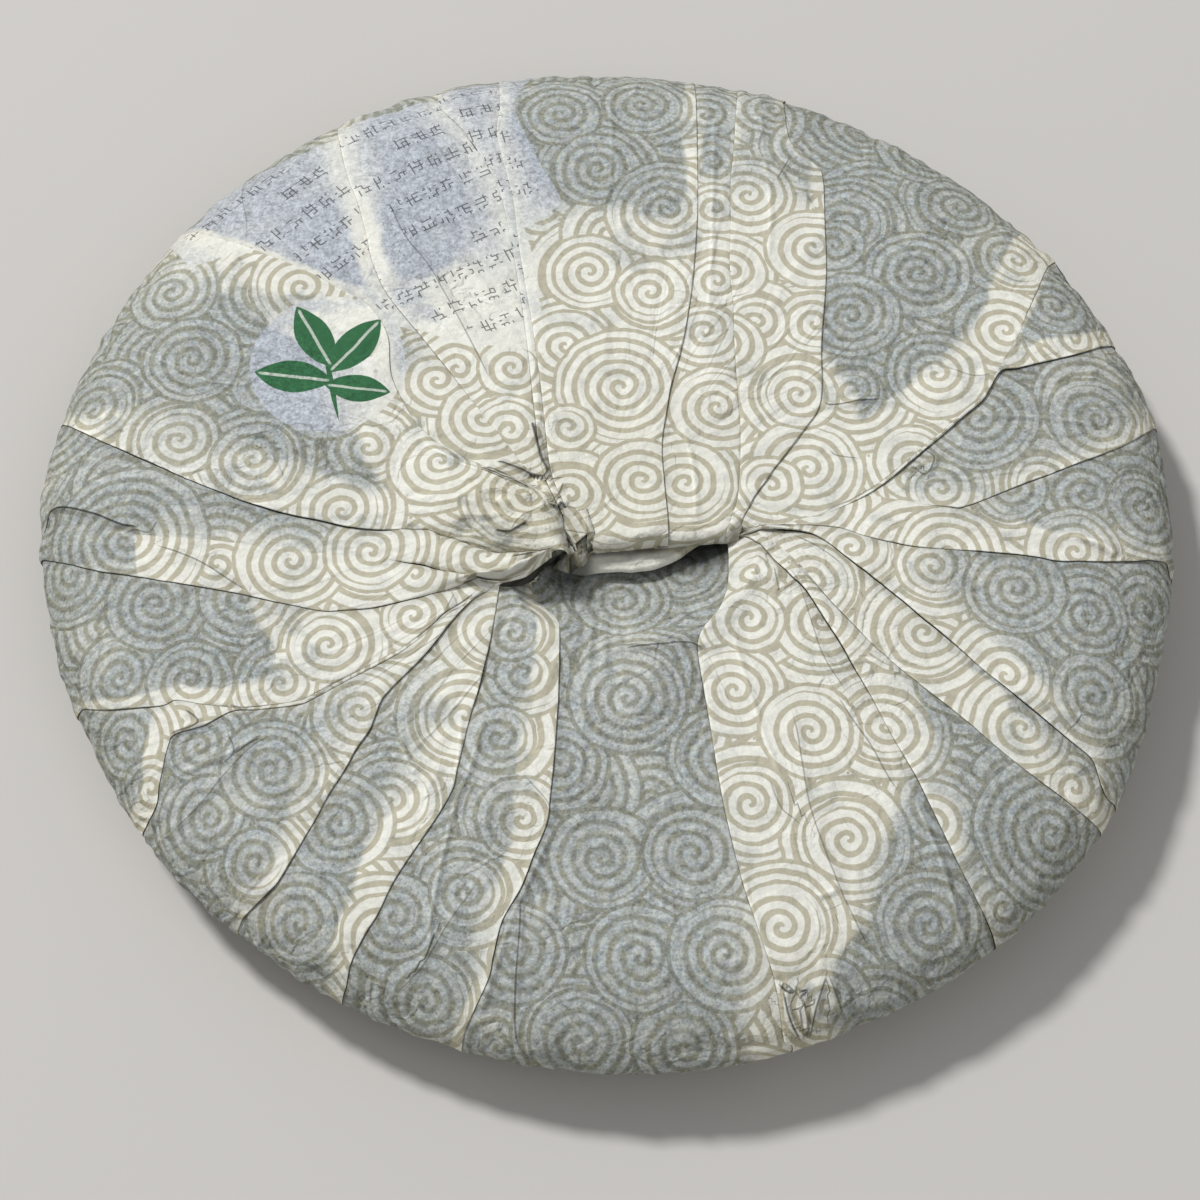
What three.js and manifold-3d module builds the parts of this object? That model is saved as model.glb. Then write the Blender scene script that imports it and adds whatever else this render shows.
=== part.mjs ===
import * as THREE from 'three';
import { ParametricGeometry } from 'three/addons/geometries/ParametricGeometry.js';
import { mergeVertices } from 'three/addons/utils/BufferGeometryUtils.js';
import Module from 'manifold-3d';

// A pressed tea cake in its pleated paper, lying with the gathered side up.
// Millimetres, +Z up, the origin under the middle of the cake, on the table.

const rimRadius = 100;
const topHeight = 22;
const footRadius = 42;
const pleatRise = 1.1;        // how far the free edge of a pleat stands above its neighbour
const pleatLean = 0.5;        // sideways width of that step
const columnsPerPleat = 4;
const mouthDepth = 7;         // the dimple under the gather
const mouthMiddle = new THREE.Vector2(5, -16);
const flapThickness = 2.4;
const flapReach = 4.5;        // how far the folded-over flap overhangs the dimple
const paperColour = 0xe9e4d2;

// Half section of the cake, from the shoulder over the rim to the foot: radius, height
const shoulder = [[80, 21.2], [88, 20.2], [94, 18.0], [98, 15.2], [rimRadius, 12.5]];
const underside = [[99.3, 10.0], [97, 8.0], [92, 6.6], [80, 4.6], [60, 1.8], [footRadius, 0]];
const crown = [[0, topHeight], [60, topHeight - 0.2], ...shoulder];

// The rim is a little out of round where the paper pulls: angle in degrees, extra radius
const rimBulge = [
  [0, 0.5], [12, 1.8], [35, 1.3], [52, 0.2], [90, 0.5], [112, 1.9], [140, 1.9], [158, 0.6],
  [176, 0.8], [189, -1.1], [206, -2.7], [242, -2.7], [262, -1], [278, 0.2], [292, 0.9],
  [325, 1.4], [346, -0.3], [360, 0.5],
];

// Every pleat runs from the rim to the gather. over says which neighbour lies on top:
// 1 the one further round anticlockwise, -1 the one before it, 0 for a mere crease.
// fade is true where the step dies out before the gather.
const pleats = [
  { over: 1, points: [[97.1, 16.5], [80.1, 8.2], [62, 0.7], [45.7, 1.2], [34, -1.9], [23.8, -5.3]], fade: true },
  { over: 1, points: [[93, 34.5], [80.1, 30.8], [71, 28], [58.7, 14.2], [44.8, 4], [30, -2.5], [23.8, -4.7]] },
  { over: 1, points: [[82, 54], [75.8, 40.3], [68, 29], [55, 17], [42, 7], [28, 0], [23.1, -4.7]], fade: true },
  { over: 1, points: [[35, 93], [40.6, 72.9], [40.6, 50], [39.2, 22.5], [30, 9], [22.4, -5.2]], fade: true },
  { over: -1, points: [[25.5, 96], [23.5, 70], [23.2, 42], [23.9, 20], [21.4, -6]] },
  { over: 1, points: [[17.5, 98], [17.2, 70], [14.6, 37], [11, 15], [11, -6.9]] },
  { over: 0, points: [[0, 99], [1.2, 76], [0.4, 40], [1, 10], [2, -7.8]] },
  { over: -1, points: [[-20.5, 97], [-19.8, 80], [-15.4, 52.8], [-10.5, 25], [-8, 3], [-3.4, -9.2]] },
  { over: -1, points: [[-33, 94], [-21.6, 72.9], [-17.1, 52], [-13, 25], [-9.4, 3], [-4.6, -10]] },
  { over: -1, points: [[-52, 86], [-47, 69.3], [-40.7, 47.4], [-24, 25], [-11.5, 4], [-5.8, -10.6]], fade: true },
  { over: 1, points: [[-82, 58], [-65.3, 54.6], [-43.4, 43], [-35, 26], [-15, 5], [-7.4, -11.1]] },
  { over: 0, points: [[-96, 36], [-70, 26], [-45, 15], [-22, 2], [-9.2, -11.5]] },
  { over: -1, points: [[-97, 17], [-80, 9.6], [-60, 0.4], [-43.4, -3.5], [-28.3, -5.6], [-11.5, -12.4]] },
  { over: -1, points: [[-97.4, -10], [-80, -13.8], [-60, -18.1], [-45.6, -20.9], [-32, -17.6], [-18.2, -15]] },
  { over: -1, points: [[-90, -39.2], [-74.6, -38], [-62, -39], [-50, -36.3], [-40, -30.2], [-19.4, -15.6]] },
  { over: -1, points: [[-75, -62.5], [-60, -48], [-46, -38.5], [-30, -23.5], [-19, -16.4]], fade: true },
  { over: -1, points: [[-60.4, -77.9], [-50, -61.8], [-42.5, -46.8], [-34, -31.5], [-18.4, -17.2]] },
  { over: -1, points: [[-42.7, -89.7], [-35, -70.5], [-25.8, -54.2], [-21.6, -35], [-17.6, -18]] },
  { over: -1, points: [[-22.5, -97], [-17.1, -77.9], [-9.8, -60], [-8, -40], [-9.4, -20.5]] },
  { over: 0, points: [[-3, -100], [-4.6, -60], [-1.5, -40], [-2, -27.3]] },
  { over: 0, points: [[14, -99.5], [9.5, -60], [8, -27.3]] },
  { over: 1, points: [[29, -97], [26.8, -85], [20.4, -60], [16.6, -35], [17.6, -23.6]] },
  { over: 1, points: [[46, -89], [40.4, -76.1], [34.2, -57.3], [31, -38.6], [20.6, -18]], fade: true },
  { over: 1, points: [[62, -79], [54.6, -58.2], [44.6, -35], [32.4, -15], [22.2, -9.4]] },
  { over: 1, points: [[80, -60], [66.3, -46.2], [46, -27], [33, -12.5], [22.8, -8]], fade: true },
  { over: 1, points: [[84.5, -54], [73.4, -40.9], [54.6, -21.3], [43.9, -11.5], [34, -8], [23.3, -6.9]] },
  { over: 1, points: [[98, -12.3], [80, -10.2], [60, -7.9], [46.2, -5.2], [36, -4.4], [23.6, -6]] },
];

const rowsOnTop = [0.1, 0.24, 0.4, 0.56, 0.72, 0.86, 0.94, 1];   // share of the way from shoulder to gather
const samplesPerPleat = 240;

function interpolate(table, at) {
  let i = 1;
  while (i < table.length - 1 && table[i][0] < at) i += 1;
  const [x0, y0] = table[i - 1];
  const [x1, y1] = table[i];
  const share = Math.min(Math.max((at - x0) / (x1 - x0), 0), 1);
  return y0 + (y1 - y0) * share;
}

// 1 at the rim, falling to 0 at the foot, so that only the outside is out of round
function rimScale(point) {
  const angle = (THREE.MathUtils.radToDeg(Math.atan2(point.y, point.x)) + 360) % 360;
  const share = THREE.MathUtils.smoothstep(point.length(), footRadius, rimRadius);
  return 1 + (interpolate(rimBulge, angle) / rimRadius) * share;
}

// Points of one pleat: one on each shoulder radius, rim first, then on towards the gather
function pleatRows(pleat) {
  const knots = pleat.points.map(([x, y]) => new THREE.Vector2(x, y));
  const start = knots[0].clone().setLength(rimRadius + 1);
  const samples = new THREE.SplineCurve([start, ...knots.slice(1)]).getSpacedPoints(samplesPerPleat);
  const rows = [];
  let last = 0;
  for (const [radius] of [...shoulder].reverse()) {
    last = samples.findIndex((point) => point.length() <= radius);
    rows.push(samples[last].clone().setLength(radius));
  }
  for (const share of rowsOnTop) {
    rows.push(samples[Math.round(last + (samplesPerPleat - last) * share)].clone());
  }
  return rows;
}

// Between two pleats the sheet keeps to the round of the cake, and near the gather runs straight
function between(a, b, share) {
  const point = a.clone().lerp(b, share);
  const radius = THREE.MathUtils.lerp(a.length(), b.length(), share);
  const roundness = THREE.MathUtils.smoothstep(radius, 35, 80);
  return point.setLength(THREE.MathUtils.lerp(point.length(), radius, roundness));
}

// How high the sheet lies above the cake at a share of the way from one pleat to the next
function sheetLift(near, far, share) {
  const nearLift = near.over === 1 ? near.rise : 0;
  const farLift = far.over === -1 ? far.rise : 0;
  return nearLift * (1 - share) ** 1.5 + farLift * share ** 1.5;
}

// The section of the cake below one column of the top: outer rim, underside and foot
function lowerColumn(rimPoint) {
  return [...underside].reverse().map(([radius, height]) => {
    const point = rimPoint.clone().setLength(radius);
    point.multiplyScalar(rimScale(point));
    return new THREE.Vector3(point.x, point.y, height);
  });
}

// From the edge of the gather round the lip of the flap and down to the middle of the dimple
function mouthColumn(edge) {
  const flat = new THREE.Vector2(edge.x, edge.y);
  const outward = flat.clone().sub(mouthMiddle).normalize();
  const underFlap = THREE.MathUtils.smoothstep(outward.y, 0.1, 0.5);
  const lip = flapThickness * underFlap;
  const tucked = flat.clone().addScaledVector(outward, flapReach * underFlap);
  const floor = topHeight - mouthDepth;
  const column = [
    new THREE.Vector3(flat.x, flat.y, edge.z - lip - 0.3),
    new THREE.Vector3(tucked.x, tucked.y, edge.z - lip - 0.9),
  ];
  for (const [reach, depth] of [[0.78, 0.42], [0.5, 0.8], [0.24, 0.97], [0, 1]]) {
    const point = mouthMiddle.clone().lerp(tucked, reach);
    const drop = Math.max(depth, 0.75 * underFlap * Math.min(depth * 2, 1));
    column.push(new THREE.Vector3(point.x, point.y, THREE.MathUtils.lerp(topHeight - 0.6, floor, drop)));
  }
  return column;
}

function cakeColumns() {
  const rows = pleats.map(pleatRows);
  const columns = [];
  pleats.forEach((pleat, index) => {
    const next = pleats[(index + 1) % pleats.length];
    const nextRows = rows[(index + 1) % pleats.length];
    for (let step = 0; step <= columnsPerPleat; step += 1) {
      const share = step / columnsPerPleat;
      const top = rows[index].map((point, row) => {
        const inset = pleatLean / 2 / Math.max(point.distanceTo(nextRows[row]), pleatLean);
        const flat = between(point, nextRows[row], THREE.MathUtils.lerp(inset, 1 - inset, share));
        const height = interpolate(crown, flat.length());
        const inner = row / (shoulder.length + rowsOnTop.length - 1);
        const rise = (one) => pleatRise * (one.fade ? THREE.MathUtils.smoothstep(1 - inner, 0.2, 0.5) : 1);
        const onRim = THREE.MathUtils.smoothstep(inner, -0.05, 0.15);
        const lift = onRim * sheetLift(
          { over: pleat.over, rise: rise(pleat) },
          { over: next.over, rise: rise(next) },
          share,
        );
        flat.multiplyScalar(rimScale(flat));
        return new THREE.Vector3(flat.x, flat.y, height + lift);
      });
      const foot = new THREE.Vector3(0, 0, 0);
      columns.push([foot, ...lowerColumn(top[0]), ...top, ...mouthColumn(top[top.length - 1])]);
    }
  });
  return columns;
}

// A closed mesh with shared corners, without the triangles that shrink to nothing at a pole
function closeUp(geometry) {
  geometry.deleteAttribute('normal');
  geometry.deleteAttribute('uv');
  const merged = mergeVertices(geometry, 1e-4);
  const index = merged.getIndex().array;
  const kept = [];
  for (let i = 0; i < index.length; i += 3) {
    const [a, b, c] = index.slice(i, i + 3);
    if (a !== b && b !== c && c !== a) kept.push(a, b, c);
  }
  merged.setIndex(kept);
  return merged;
}

const wasm = await Module();
wasm.setup();

function toSolid(geometry) {
  return new wasm.Manifold(new wasm.Mesh({
    numProp: 3,
    vertProperties: new Float32Array(geometry.getAttribute('position').array),
    triVerts: new Uint32Array(geometry.getIndex().array),
  }));
}

function toGeometry(solid) {
  const mesh = solid.getMesh();
  const geometry = new THREE.BufferGeometry();
  geometry.setAttribute('position', new THREE.BufferAttribute(new Float32Array(mesh.vertProperties), 3));
  geometry.setIndex([...mesh.triVerts]);
  return geometry;
}

function cakeBody() {
  const columns = cakeColumns();
  const slices = columns.length;
  const stacks = columns[0].length - 1;
  const surface = (u, v, target) => {
    target.copy(columns[Math.round(u * slices) % slices][Math.round(v * stacks)]);
  };
  return toSolid(closeUp(new ParametricGeometry(surface, slices, stacks)));
}

// A crumpled roll of paper: an ellipsoid with creases wound along it
function paperRoll({ size, at, turn, creases }) {
  const geometry = new THREE.SphereGeometry(1, 24, 12);
  const position = geometry.getAttribute('position');
  for (let i = 0; i < position.count; i += 1) {
    const point = new THREE.Vector3().fromBufferAttribute(position, i);
    const around = Math.atan2(point.z, point.x);
    const pinch = 1 + 0.1 * Math.cos(creases * around + 3 * point.y);
    position.setXYZ(i, point.x * pinch * size[0], point.y * size[1], point.z * pinch * size[2]);
  }
  geometry.rotateZ(THREE.MathUtils.degToRad(turn));
  geometry.translate(...at);
  return toSolid(closeUp(geometry));
}

// Two rolls gathered from the left, and the twist that locks them over the flap
const rolls = [
  { size: [11, 5, 2.8], at: [-16.5, -3.6, topHeight - 0.3], turn: -24, creases: 3 },
  { size: [12.5, 3.6, 2.9], at: [-20.5, -11, topHeight - 0.7], turn: -12, creases: 2 },
  { size: [3.4, 6.8, 2.8], at: [-5.4, -4.8, topHeight + 0.5], turn: 14, creases: 4 },
];

const group = new THREE.Group();

const wrapper = rolls.reduce((solid, roll) => solid.add(paperRoll(roll)), cakeBody());
const paper = new THREE.MeshStandardMaterial({ color: paperColour, roughness: 0.85, metalness: 0 });
const cake = new THREE.Mesh(toGeometry(wrapper), paper);
cake.name = 'wrapped_tea_cake';
group.add(cake);

export default group;
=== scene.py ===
import math

import bmesh
import bpy
import numpy as np
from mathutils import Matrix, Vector


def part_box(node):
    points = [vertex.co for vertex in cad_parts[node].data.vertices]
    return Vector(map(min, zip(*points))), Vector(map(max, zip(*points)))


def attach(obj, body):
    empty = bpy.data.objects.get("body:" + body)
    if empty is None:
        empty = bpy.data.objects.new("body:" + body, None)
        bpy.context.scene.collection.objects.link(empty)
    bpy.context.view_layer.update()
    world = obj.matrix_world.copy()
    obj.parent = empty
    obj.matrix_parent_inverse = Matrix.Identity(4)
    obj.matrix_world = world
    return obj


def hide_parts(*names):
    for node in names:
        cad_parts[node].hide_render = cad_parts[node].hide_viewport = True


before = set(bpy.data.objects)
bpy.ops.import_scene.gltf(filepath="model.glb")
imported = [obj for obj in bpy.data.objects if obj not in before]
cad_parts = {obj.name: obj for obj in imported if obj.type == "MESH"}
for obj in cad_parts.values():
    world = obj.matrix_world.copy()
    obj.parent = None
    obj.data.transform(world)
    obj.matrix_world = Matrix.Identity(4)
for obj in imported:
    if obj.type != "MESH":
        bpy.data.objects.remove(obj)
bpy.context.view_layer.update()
cakeLow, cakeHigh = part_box("wrapped_tea_cake")

# The wrapper is drawn in millimetres and made to the width of the CAD cake
mm = (cakeHigh[0] - cakeLow[0]) / 201.1

camera = {
    "distance": 520,
    "elevation": 62.29,
    "target": (-0.9, -13.2, 12),
    "lens": 88.4,
    "sensor": 36,
}

# Half section of the cake: radius and height, from the middle of the top round to the middle of the foot
cake = {
    "section": [(0, 22), (40, 21.95), (60, 21.8), (80, 21.2), (88, 20.2), (94, 18), (98, 15.2),
                (100, 12.5), (99.3, 10), (97, 8), (92, 6.6), (80, 4.6), (60, 1.8), (42, 0), (0, 0)],
    "footRadius": 42,
    "rimRadius": 100,
    # the rim is a little out of round: angle in degrees, extra radius
    "bulge": [(0, 0.5), (12, 1.8), (35, 1.3), (52, 0.2), (90, 0.5), (112, 1.9), (140, 1.9), (158, 0.6),
              (176, 0.8), (189, -1.1), (206, -2.7), (242, -2.7), (262, -1), (278, 0.2), (292, 0.9),
              (325, 1.4), (346, -0.3), (360, 0.5)],
    "dimpleMiddle": (4, -6),
    "dimpleReach": (23, 21.5),
    "dimpleDepth": 7.4,
    "tracePlane": 20.5,         # the height at which the pleats were drawn, as the camera sees them
}

# Every pleat, anticlockwise from the right: its path from the rim to the gather in mm, and which
# neighbour lies on top: 1 the one further round, -1 the one before. line is the strength of the painted
# shade line along it. flat says where it flattens out: the mm from the middle where it still has its height
# and where it has only the third value's share of it. tip, bandOver and bandUnder say where the sheet
# up to the next pleat has more paper under it, discs what is printed on it.
pleats = [
    {"name": "r9", "over": 1, "rise": 0.7, "flat": (66, 50, 0.08), "tip": 57, "bandOver": [(57, 4), (100, 3)],
     "bandUnder": [(57, 0), (100, -2)],
     "path": [(97.1, 16.5), (89.9, 12.5), (80.1, 8.2), (73.4, 5.3), (63.6, 0.8), (60, 0.7), (52, 1.7),
              (45.7, 1.9), (38, -0.6), (30, -3.3), (22, -3.5)],
     "discs": [(76.5, 5, 6), (53.7, 6, 5), (58.8, 3.4, 6), (66.2, 18.1, 7.5), (86.7, 18.5, 9)]},
    {"name": "r10", "over": 1, "rise": 0.8, "tip": 60, "bandOver": [(60, 6), (100, 3)],
     "bandUnder": [(60, 2), (100, 0)],
     "path": [(92.5, 34.3), (85.4, 32.3), (80.1, 30.8), (73.8, 29.2), (70.5, 28.2), (67.4, 22.7), (64, 19.4),
              (58.7, 14.2), (50.2, 6.2), (44.8, 2.4), (40.8, 0.2), (35, -3.2), (29.7, -3.9), (23.7, -4.2)],
     "discs": [(84, 36, 6), (81.4, 43.4, 7)]},
    {"name": "r11", "over": 1, "rise": 0.5, "tip": 50, "bandOver": [(50, 12), (100, 9)],
     "bandUnder": [(50, 0), (100, -2)],
     "path": [(84, 53), (79.9, 50.1), (77.9, 45.2), (75.8, 40.3), (74.3, 36.3), (71.6, 31), (70.3, 28.7),
              (67.1, 23.2), (63.7, 19.9), (58.4, 14.7), (49.9, 6.7), (44.5, 2.9), (40.5, 0.7), (34.9, -2.7),
              (29.7, -3.5), (23.9, -3.9)],
     "discs": [(60, 80, 9), (44.3, 22.5, 12), (65.8, 65.8, 8), (44.8, 60.4, 8), (42.3, 55.5, 6),
               (57.3, 49.2, 10), (75.1, 53.3, 7), (71.8, 36.7, 9.6), (44.6, 39.9, 9.5), (54.6, 9.2, 7.4),
               (35.8, 7.5, 10.5), (59.3, 27.2, 9.3), (44.3, 23.9, 5), (34.6, 23, 7.6), (29.2, 4.2, 6)]},
    {"name": "t1", "line": 0.4, "over": 1, "rise": 0.5, "flat": (30, 18, 0.08), "tip": 76,
     "bandOver": [(76, 3), (100, 0)], "bandUnder": [(76, 2), (100, 0)],
     "path": [(33.5, 88), (34.3, 82), (36, 77.6), (39.5, 74.2), (40.7, 71), (40.7, 60.4), (40.6, 50), (39.2, 35),
              (39, 26), (38.2, 21), (35, 15.8), (30, 8.5), (25.5, 1), (22.9, -5)],
     "discs": [(31.9, 88.5, 8), (39, 78.7, 8), (26.6, 66.2, 9), (23, 49, 7), (38.3, 54.6, 9), (38, 38, 7),
               (27.5, 38.1, 6), (21.6, 33, 7.6), (35.8, 7.5, 10.5), (34.6, 23, 7.6), (29.2, 4.2, 6)]},
    {"name": "t3", "line": 0.3, "over": -1, "rise": 0.4, "tip": 74, "bandOver": [(74, 0), (100, 0)],
     "bandUnder": [(74, 1), (100, 0)],
     "path": [(25.6, 93), (24.8, 86), (24.2, 77.3), (23.5, 70), (23.3, 60.4), (23, 51.4), (23.5, 42.5),
              (23.5, 35), (23.9, 23.8), (24.2, 16.3), (23.6, 4), (22.4, -1), (20.6, -6.4)],
     "discs": [(19, 86.3, 7), (20, 74, 7), (20.3, 63.5, 6), (20.3, 47.4, 6), (18.1, 36.3, 6), (20, 20, 9),
               (14, 4.7, 8.7)]},
    {"name": "t2", "line": 0.45, "over": 1, "rise": 0.5, "tip": 63, "bandOver": [(63, 3), (100, 1)],
     "bandUnder": [(63, 2), (100, 1)],
     "path": [(17, 94), (17.3, 80), (17.3, 70), (17, 60.4), (15.9, 47), (14.1, 35), (11.9, 26), (11.2, 21.6),
              (10.1, 13.6), (10.4, 6), (11, -2), (11, -7.4)],
     "discs": [(0.5, 58, 9), (7.1, 88.5, 7.8), (-8.3, 85.4, 7.8), (-1.3, 72.2, 8.7), (11.4, 63.1, 11.5),
               (-2.9, 49.2, 8.6), (-7, 33, 8), (2.9, 24.3, 12.5), (8.3, 44.8, 7), (-6.5, 15.8, 5),
               (6.5, 5.1, 8.7), (-6, 2, 6)]},
    {"name": "t5", "line": 0.5, "over": -1, "rise": 0.5, "tip": 56, "bandOver": [(56, 1), (100, 0)],
     "bandUnder": [(56, 1), (100, 0)],
     "path": [(-20.3, 95), (-19.6, 87), (-20, 80), (-17.1, 66.6), (-15.4, 52.8), (-12.7, 35), (-11, 20),
              (-9.6, 8), (-7.2, 1), (-4.4, -5), (-3.2, -9)],
     "discs": [(-16.7, 28.3, 6.5), (-13, 14, 6)]},
    {"name": "t6", "line": 0.4, "over": -1, "rise": 0.4, "tip": 58, "bandOver": [(58, 3), (100, 3)],
     "bandUnder": [(58, 3), (100, 1)],
     "path": [(-31, 89), (-30.5, 85.8), (-26.1, 80.9), (-21.6, 72.9), (-19.4, 67.5), (-17.1, 55.9), (-14.5, 38),
              (-12.6, 20), (-11, 8), (-8.4, 1), (-5.5, -5), (-4.2, -10)],
     "discs": [(-26.6, 28.3, 8), (-16.7, 28.3, 6.5), (-17, 15.4, 7.5)]},
    {"name": "t7", "over": -1, "rise": 0.5, "flat": (44, 30, 0.08), "tip": 46, "bandOver": [(46, 3), (100, 3)],
     "bandUnder": [(46, 2), (100, 1)],
     "path": [(-49.8, 84), (-49.2, 80), (-48.3, 74.6), (-47, 69.3), (-45.6, 65.7), (-43.8, 58.6), (-42.5, 52.3),
              (-39.5, 45), (-31, 33), (-20, 17), (-13, 7), (-9.4, 1), (-6.5, -5), (-5.2, -10.6)],
     "discs": [(-30, 26, 8), (-22, 18, 8)]},
    {"name": "t10", "over": 1, "rise": 0.5, "flat": (46, 34, 0.08), "tip": 34, "blend": 0.3,
     "bandOver": [(30, 16), (100, 7)], "bandUnder": [(30, 10), (80, 9), (100, 1)],
     "path": [(-82, 59), (-78.2, 58.1), (-73.8, 57.7), (-69.3, 56.3), (-61.7, 53.2), (-55.4, 50.5),
              (-48.8, 46.5), (-43.4, 43), (-39.5, 36.5), (-38.3, 27), (-33, 17), (-25.4, 10.9), (-19.8, 7.8),
              (-12.7, 4.2), (-8.6, 1), (-7, -4), (-6.2, -10)],
     "discs": [(-91.6, 21.6, 8), (-42, 12, 8), (-46, -1, 8), (-50, 22, 9), (-61.5, 24.8, 6), (-78.7, 46.1, 9),
               (-74.2, 30.6, 9.4), (-75.4, 13.6, 7.5), (-54.8, 45.7, 10), (-62.2, 9.4, 8), (-29, 8.3, 9.8)]},
    {"name": "l1", "over": -1, "rise": 0.8, "tip": 50, "bandOver": [(50, 3), (78, 2.5), (80, -2), (100, -3)],
     "bandUnder": [(42, -1), (100, -3)],
     "path": [(-97.3, 17.6), (-90, 14.5), (-85, 12), (-80, 9.6), (-70, 4.6), (-60, 0.4), (-50, -2.1),
              (-43.4, -3.5), (-32.3, -4.1), (-28.3, -5.6), (-24.7, -7), (-19.8, -9.2), (-15, -9.5), (-9.5, -10)],
     "discs": [(-85.8, 5.8, 9), (-84, -6.5, 15), (-54.6, -10.9, 10.5), (-40.8, -8.9, 8.6)]},
    {"name": "l2", "over": -1, "rise": 1.4, "flat": (34, 40, 0.03), "tip": 50,
     "bandOver": [(50, 20), (82, 20), (83, 0), (100, -3)], "bandUnder": [(42, -1), (100, -3)],
     "path": [(-98.6, -4), (-85, -4.6), (-70, -6.2), (-58, -7.8), (-48, -9), (-41, -9.6), (-36.5, -10),
              (-33, -10.8), (-28.5, -12.3), (-25, -13.4), (-22, -14.2), (-19, -14.8), (-16.5, -14.7),
              (-14, -13.8), (-12, -12.2), (-9.3, -10)],
     "discs": [(-33, -14, 6), (-84, -6.5, 15), (-54.6, -10.9, 10.5), (-40.8, -8.9, 8.6)]},
    {"name": "l3", "over": -1, "rise": 0.7, "tip": 64, "bandOver": [(64, 6), (85, 3), (100, 1)],
     "bandUnder": [(64, 0), (100, -2)],
     "path": [(-98.3, -10), (-90, -11.9), (-86.3, -12.7), (-80, -13.8), (-70, -15.7), (-62, -17.2), (-50, -19.9),
              (-45.6, -19.8), (-40, -19.1), (-35, -18.1), (-31, -17), (-28, -16.2), (-25, -15.1), (-22, -14),
              (-17, -12.5), (-11, -10.5)],
     "discs": [(-85, -33, 9), (-33, -22, 6), (-78.5, -19.2, 9.8), (-72, -34.6, 8.3), (-63.1, -18, 8.3),
               (-55.5, -35, 6.5), (-47.5, -27.5, 7.5)]},
    {"name": "l4", "over": -1, "rise": 0.8, "tip": 30, "bandOver": [(60, 7), (92, 6), (100, 4)],
     "bandUnder": [(60, 2), (100, 0)],
     "path": [(-90.5, -39.4), (-86.9, -39.7), (-82.2, -39.5), (-76.9, -39), (-74.6, -37.9), (-70, -38.7),
              (-64.4, -39.2), (-59.9, -38.9), (-53.2, -37.8), (-50, -36.3), (-40, -30.2), (-35, -27.2),
              (-30, -22.9), (-28.3, -21), (-25.3, -18.8), (-22.8, -17.1), (-19, -14.9), (-12, -11.5)],
     "discs": [(-83.5, -45, 7), (-79, -54, 6)]},
    {"name": "l5", "over": -1, "rise": 0.6, "tip": 46, "bandOver": [(46, 9), (60, 5), (85, 4), (100, 1)],
     "bandUnder": [(46, 3), (75, 0), (100, -2)],
     "path": [(-78.5, -62), (-77.1, -58), (-76.7, -54.2), (-75.5, -46.4), (-74.5, -44.6), (-69.7, -42.9),
              (-64.4, -39.9), (-59.8, -39.5), (-53, -38.4), (-49.8, -36.9), (-39.8, -30.8), (-34.8, -27.8),
              (-29.8, -23.6), (-28, -21.6), (-25, -19.3), (-22.5, -17.6), (-18.8, -15.3), (-12, -12)],
     "discs": [(-70, -47, 7), (-68, -60, 8), (-59.5, -68.2, 6.3), (-56.9, -51.5, 9.8), (-41.7, -39.9, 9)]},
    {"name": "l7", "line": 0.8, "over": -1, "rise": 0.8, "tip": 46, "bandOver": [(46, 9), (72, 8), (100, 3)],
     "bandUnder": [(46, 1), (60, 0), (100, -2)],
     "path": [(-60.9, -78.6), (-56.8, -73.8), (-54.6, -70.7), (-50.1, -61.8), (-47, -55.5), (-43.8, -49.7),
              (-42.5, -46.8), (-40, -42.6), (-38.5, -37.8), (-36.7, -35), (-30.5, -27.9), (-25.2, -20.4),
              (-22.5, -16.8), (-17, -12.5)],
     "discs": [(-36, -57, 8), (-37, -82, 8), (-52, -79, 7), (-45.2, -61.3, 10), (-23.9, -40.8, 8.5),
               (-19, -24.5, 7)]},
    {"name": "l8", "line": 0.8, "over": -1, "rise": 0.7, "tip": 12,
     "bandOver": [(30, 4), (48, 6), (72, 5), (90, 2)], "bandUnder": [(40, 0), (100, -2)],
     "path": [(-42.9, -90.5), (-42.3, -86.3), (-40, -81), (-38, -77.4), (-35, -70.5), (-29.2, -60.7),
              (-25.8, -54.2), (-25, -50.2), (-22.9, -39.9), (-21.6, -35), (-19.6, -24.8), (-18.3, -15),
              (-17.5, -10)],
     "discs": [(-30, -92, 8), (-35, -78, 8), (-14, -60, 8), (-23.2, -73.6, 6.5), (-17.9, -45, 6.5),
               (-14, -33, 5), (-15.6, -25.2, 5.6)]},
    {"name": "l10", "line": 0.75, "over": -1, "rise": 0.6, "flat": (32, 22, 0.08), "tip": 0,
     "bandOver": [(0, -5), (100, -5)], "bandUnder": [(60, -2), (72, 0), (100, 7)],
     "path": [(-23, -97.3), (-19.4, -88.6), (-18.5, -84.1), (-17.1, -77.9), (-14, -71.8), (-11.8, -65.4),
              (-9.8, -60), (-9.3, -55.1), (-8.7, -48.4), (-8.2, -39.9), (-8, -35), (-8, -21), (-9.5, -18),
              (-10.5, -12), (-10.5, -6)],
     "discs": [(-4, -98, 9), (13, -98, 9), (-8, -50, 9), (20, -48, 10), (-15, -83.5, 9), (14, -9, 7),
               (-0.4, -66.7, 9.5), (14.3, -65.8, 8.5), (5.6, -83.8, 9.4), (19.6, -82.7, 9.8), (3.8, -37.4, 10.5),
               (2.9, -15.6, 9)]},
    {"name": "r1", "line": 0.8, "over": 1, "rise": 0.7, "tip": 66,
     "bandOver": [(60, 40), (74, 31), (78, 24.5), (82, 21), (88, 17), (91, 10), (100, 8)],
     "bandUnder": [(60, 8), (70, 3), (76, -3), (100, -3)],
     "path": [(30, -98.5), (28.4, -97), (27.5, -88.6), (26.8, -85), (24.8, -77.9), (22.6, -70.3), (20.4, -60),
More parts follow.
